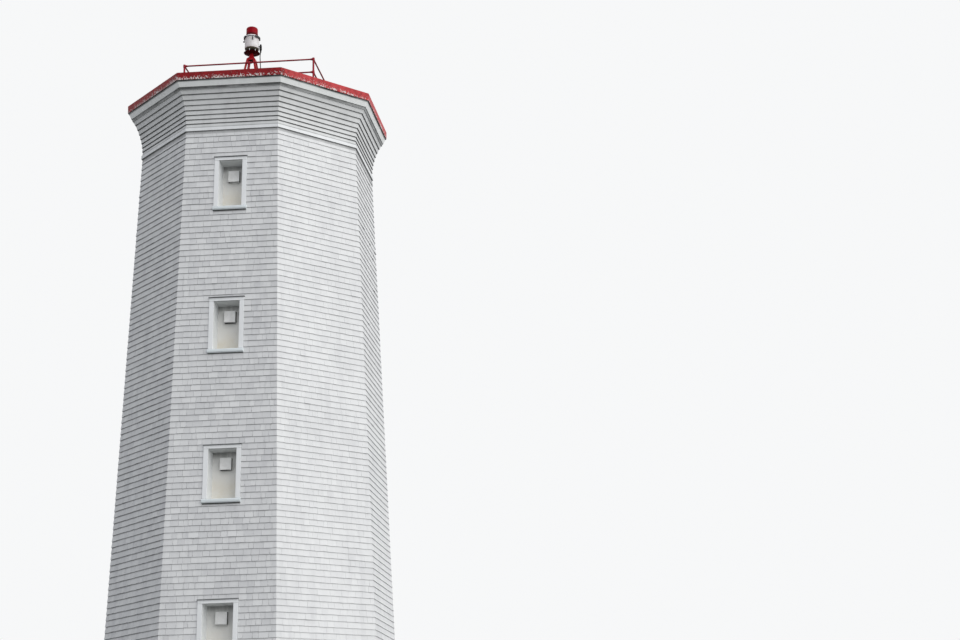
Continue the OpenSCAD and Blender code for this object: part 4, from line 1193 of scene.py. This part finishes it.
door = points_of("entrance_door")
door_half, door_low, door_high = door[:, 0].max(), door[:, 2].min(), door[:, 2].max()
edge_points = door[abs(door[:, 0]) > door_half - 0.001]
door_set = (edge_points[:, 1] - boards(edge_points[:, 2])).max()
hinge_edge = -door_half + 0.004
strap_z = np.array([door_low + STRAP_IN, (door_low + door_high) / 2, door_high - STRAP_IN])
z = strap_z[:, None] + np.array([-1, -1, 1, 1]) * STRAP_W / 2
distance = boards(z) + door_set + np.array([-0.001, STRAP_T, -0.001, STRAP_T])
left = np.full(len(strap_z), hinge_edge)
ironwork = [clipped_blocks(SIDES // 2, left, left + STRAP_L, distance, z)]
for height, reach in zip(strap_z, boards(strap_z) + door_set + STRAP_T - 0.001):
    for x in RIVETS:
        rivet_at = on_side(SIDES // 2, hinge_edge + x, reach, height)
        ironwork.append(stub(rivet_at, RIVET_R, 0, RIVET_H, 0.004, (0, 1, 0), 20))
    pin = reach + 0.004
    low_end = on_side(SIDES // 2, hinge_edge - 0.001, pin, height - KNUCKLE_H / 2)
    high_end = on_side(SIDES // 2, hinge_edge - 0.001, pin - KNUCKLE_H * LEAN, height + KNUCKLE_H / 2)
    ironwork.append(pipe(low_end, high_end, KNUCKLE_R))
add_piece("door_ironwork", stack(ironwork), black_iron, "grey_metal")
print("door face set", round(door_set, 3), "m from the boards,", len(ironwork), "parts of ironwork")

# %% [markdown]
# ## Cable and plug
# The cable is a tube of its true length. The moulded plug is one more turned part: a tapered sleeve takes the
# cable, ribs give a grip, and the top narrows again. A short arm holds it to the drum.

# %% The cable's tube and plug
PLUG_R, PLUG_H, SLEEVE_L = 0.028, 0.148, 0.050
RIBS, RIB_DEPTH = 15, 0.0015
ARM_R = 0.010
plug_at = cable_path[0]
grip = table(PLUG_R - RIB_DEPTH * (np.arange(RIBS) % 2), np.linspace(0.020, PLUG_H - 0.045, RIBS))
plug_profile = np.vstack([
    (0, -SLEEVE_L), (CABLE_D / 2 + 0.003, -SLEEVE_L), (PLUG_R * 0.85, 0.008), grip,
    (PLUG_R * 0.75, PLUG_H - 0.030), arc(PLUG_R * 0.55, PLUG_H - 0.006, 0.006, 0, 90), (0, PLUG_H),
])
arm_z = plug_at[2] + PLUG_H * 0.68
arm = pipe((beacon[0] + drum_r - 0.004, beacon[1], arm_z), (plug_at[0], plug_at[1], arm_z), ARM_R)
plug = finish_node("cable_plug", stack([placed(turned(plug_profile, 32), plug_at), arm]), rubber,
                   "black_rubber")
cable = add_piece("supply_cable", swept(cable_path, CABLE_D / 2), rubber, "black_rubber", ("beacon_cable",))
print("plug", round(PLUG_H + SLEEVE_L, 3), "m long")

# %% [markdown]
# ## Floor and light
# A pale floor takes the shadow and sends a little light back up under the cornice. The light is that of a
# soft studio: an even dome and one very broad lamp on the right, which gives the four walls their four greys.
# The brightness of the background and of the floor is set for the rays that show them, in the picture, in a
# shine or through glass, so it adds no light to the tower.

# %% Floor and light
DOME = 0.515
LAMP, LAMP_SPREAD = 2.25, 85
LAMP_TURN, LAMP_RISE = math.radians(62), math.radians(31)
FLOOR_REACH = 400.0


def seen_directly(tree):
    """1 for the rays that show a thing in the picture, in a shine or through glass; 0 for those that only
    light."""
    rays = put(tree, "ShaderNodeLightPath").outputs
    seen = maths(tree, "MAXIMUM", rays["Is Camera Ray"], rays["Is Glossy Ray"])
    return maths(tree, "MAXIMUM", seen, rays["Is Transmission Ray"])


floor_paint, tree, shader = material("floor_paint", 0.9)
pale = blend(tree, noise(tree, where(tree), 0.05), (0.70, 0.71, 0.72, 1), (0.74, 0.75, 0.76, 1))
tree.links.new(blend(tree, seen_directly(tree), (0.24, 0.24, 0.23, 1), pale), shader.inputs["Base Color"])
corners = np.array([[-1, -1, 0], [1, -1, 0], [1, 1, 0], [-1, 1, 0]]) * FLOOR_REACH
floor = bpy.data.objects.new("floor", mesh_of("floor", (corners, [np.array([[0, 1, 2, 3]])])))
floor.data.materials.append(floor_paint)
bpy.context.scene.collection.objects.link(floor)

world = bpy.data.worlds.new("studio_dome")
world.use_nodes = True
bpy.context.scene.world = world
tree = world.node_tree
tree.nodes.clear()
light = put(tree, "ShaderNodeBackground", {"Color": (0.95, 0.98, 1.06, 1), "Strength": DOME})
shown = put(tree, "ShaderNodeBackground", {"Color": (0.93, 0.937, 0.943, 1), "Strength": 1.0})
mixed = put(tree, "ShaderNodeMixShader", {0: seen_directly(tree), 1: light.outputs[0], 2: shown.outputs[0]})
put(tree, "ShaderNodeOutputWorld", {"Surface": mixed.outputs[0]})

lamp = bpy.data.objects.new("lamp", bpy.data.lights.new("lamp", "SUN"))
lamp.data.energy = LAMP
lamp.data.angle = math.radians(LAMP_SPREAD)
lamp.data.color = (1.0, 0.99, 0.965)
lamp_from = Vector((math.sin(LAMP_TURN), -math.cos(LAMP_TURN), math.tan(LAMP_RISE)))
lamp.rotation_euler = lamp_from.to_track_quat("Z", "Y").to_euler()
bpy.context.scene.collection.objects.link(lamp)
bpy.context.scene.view_settings.view_transform = "Standard"
print("lamp", LAMP, "over a dome of", DOME)
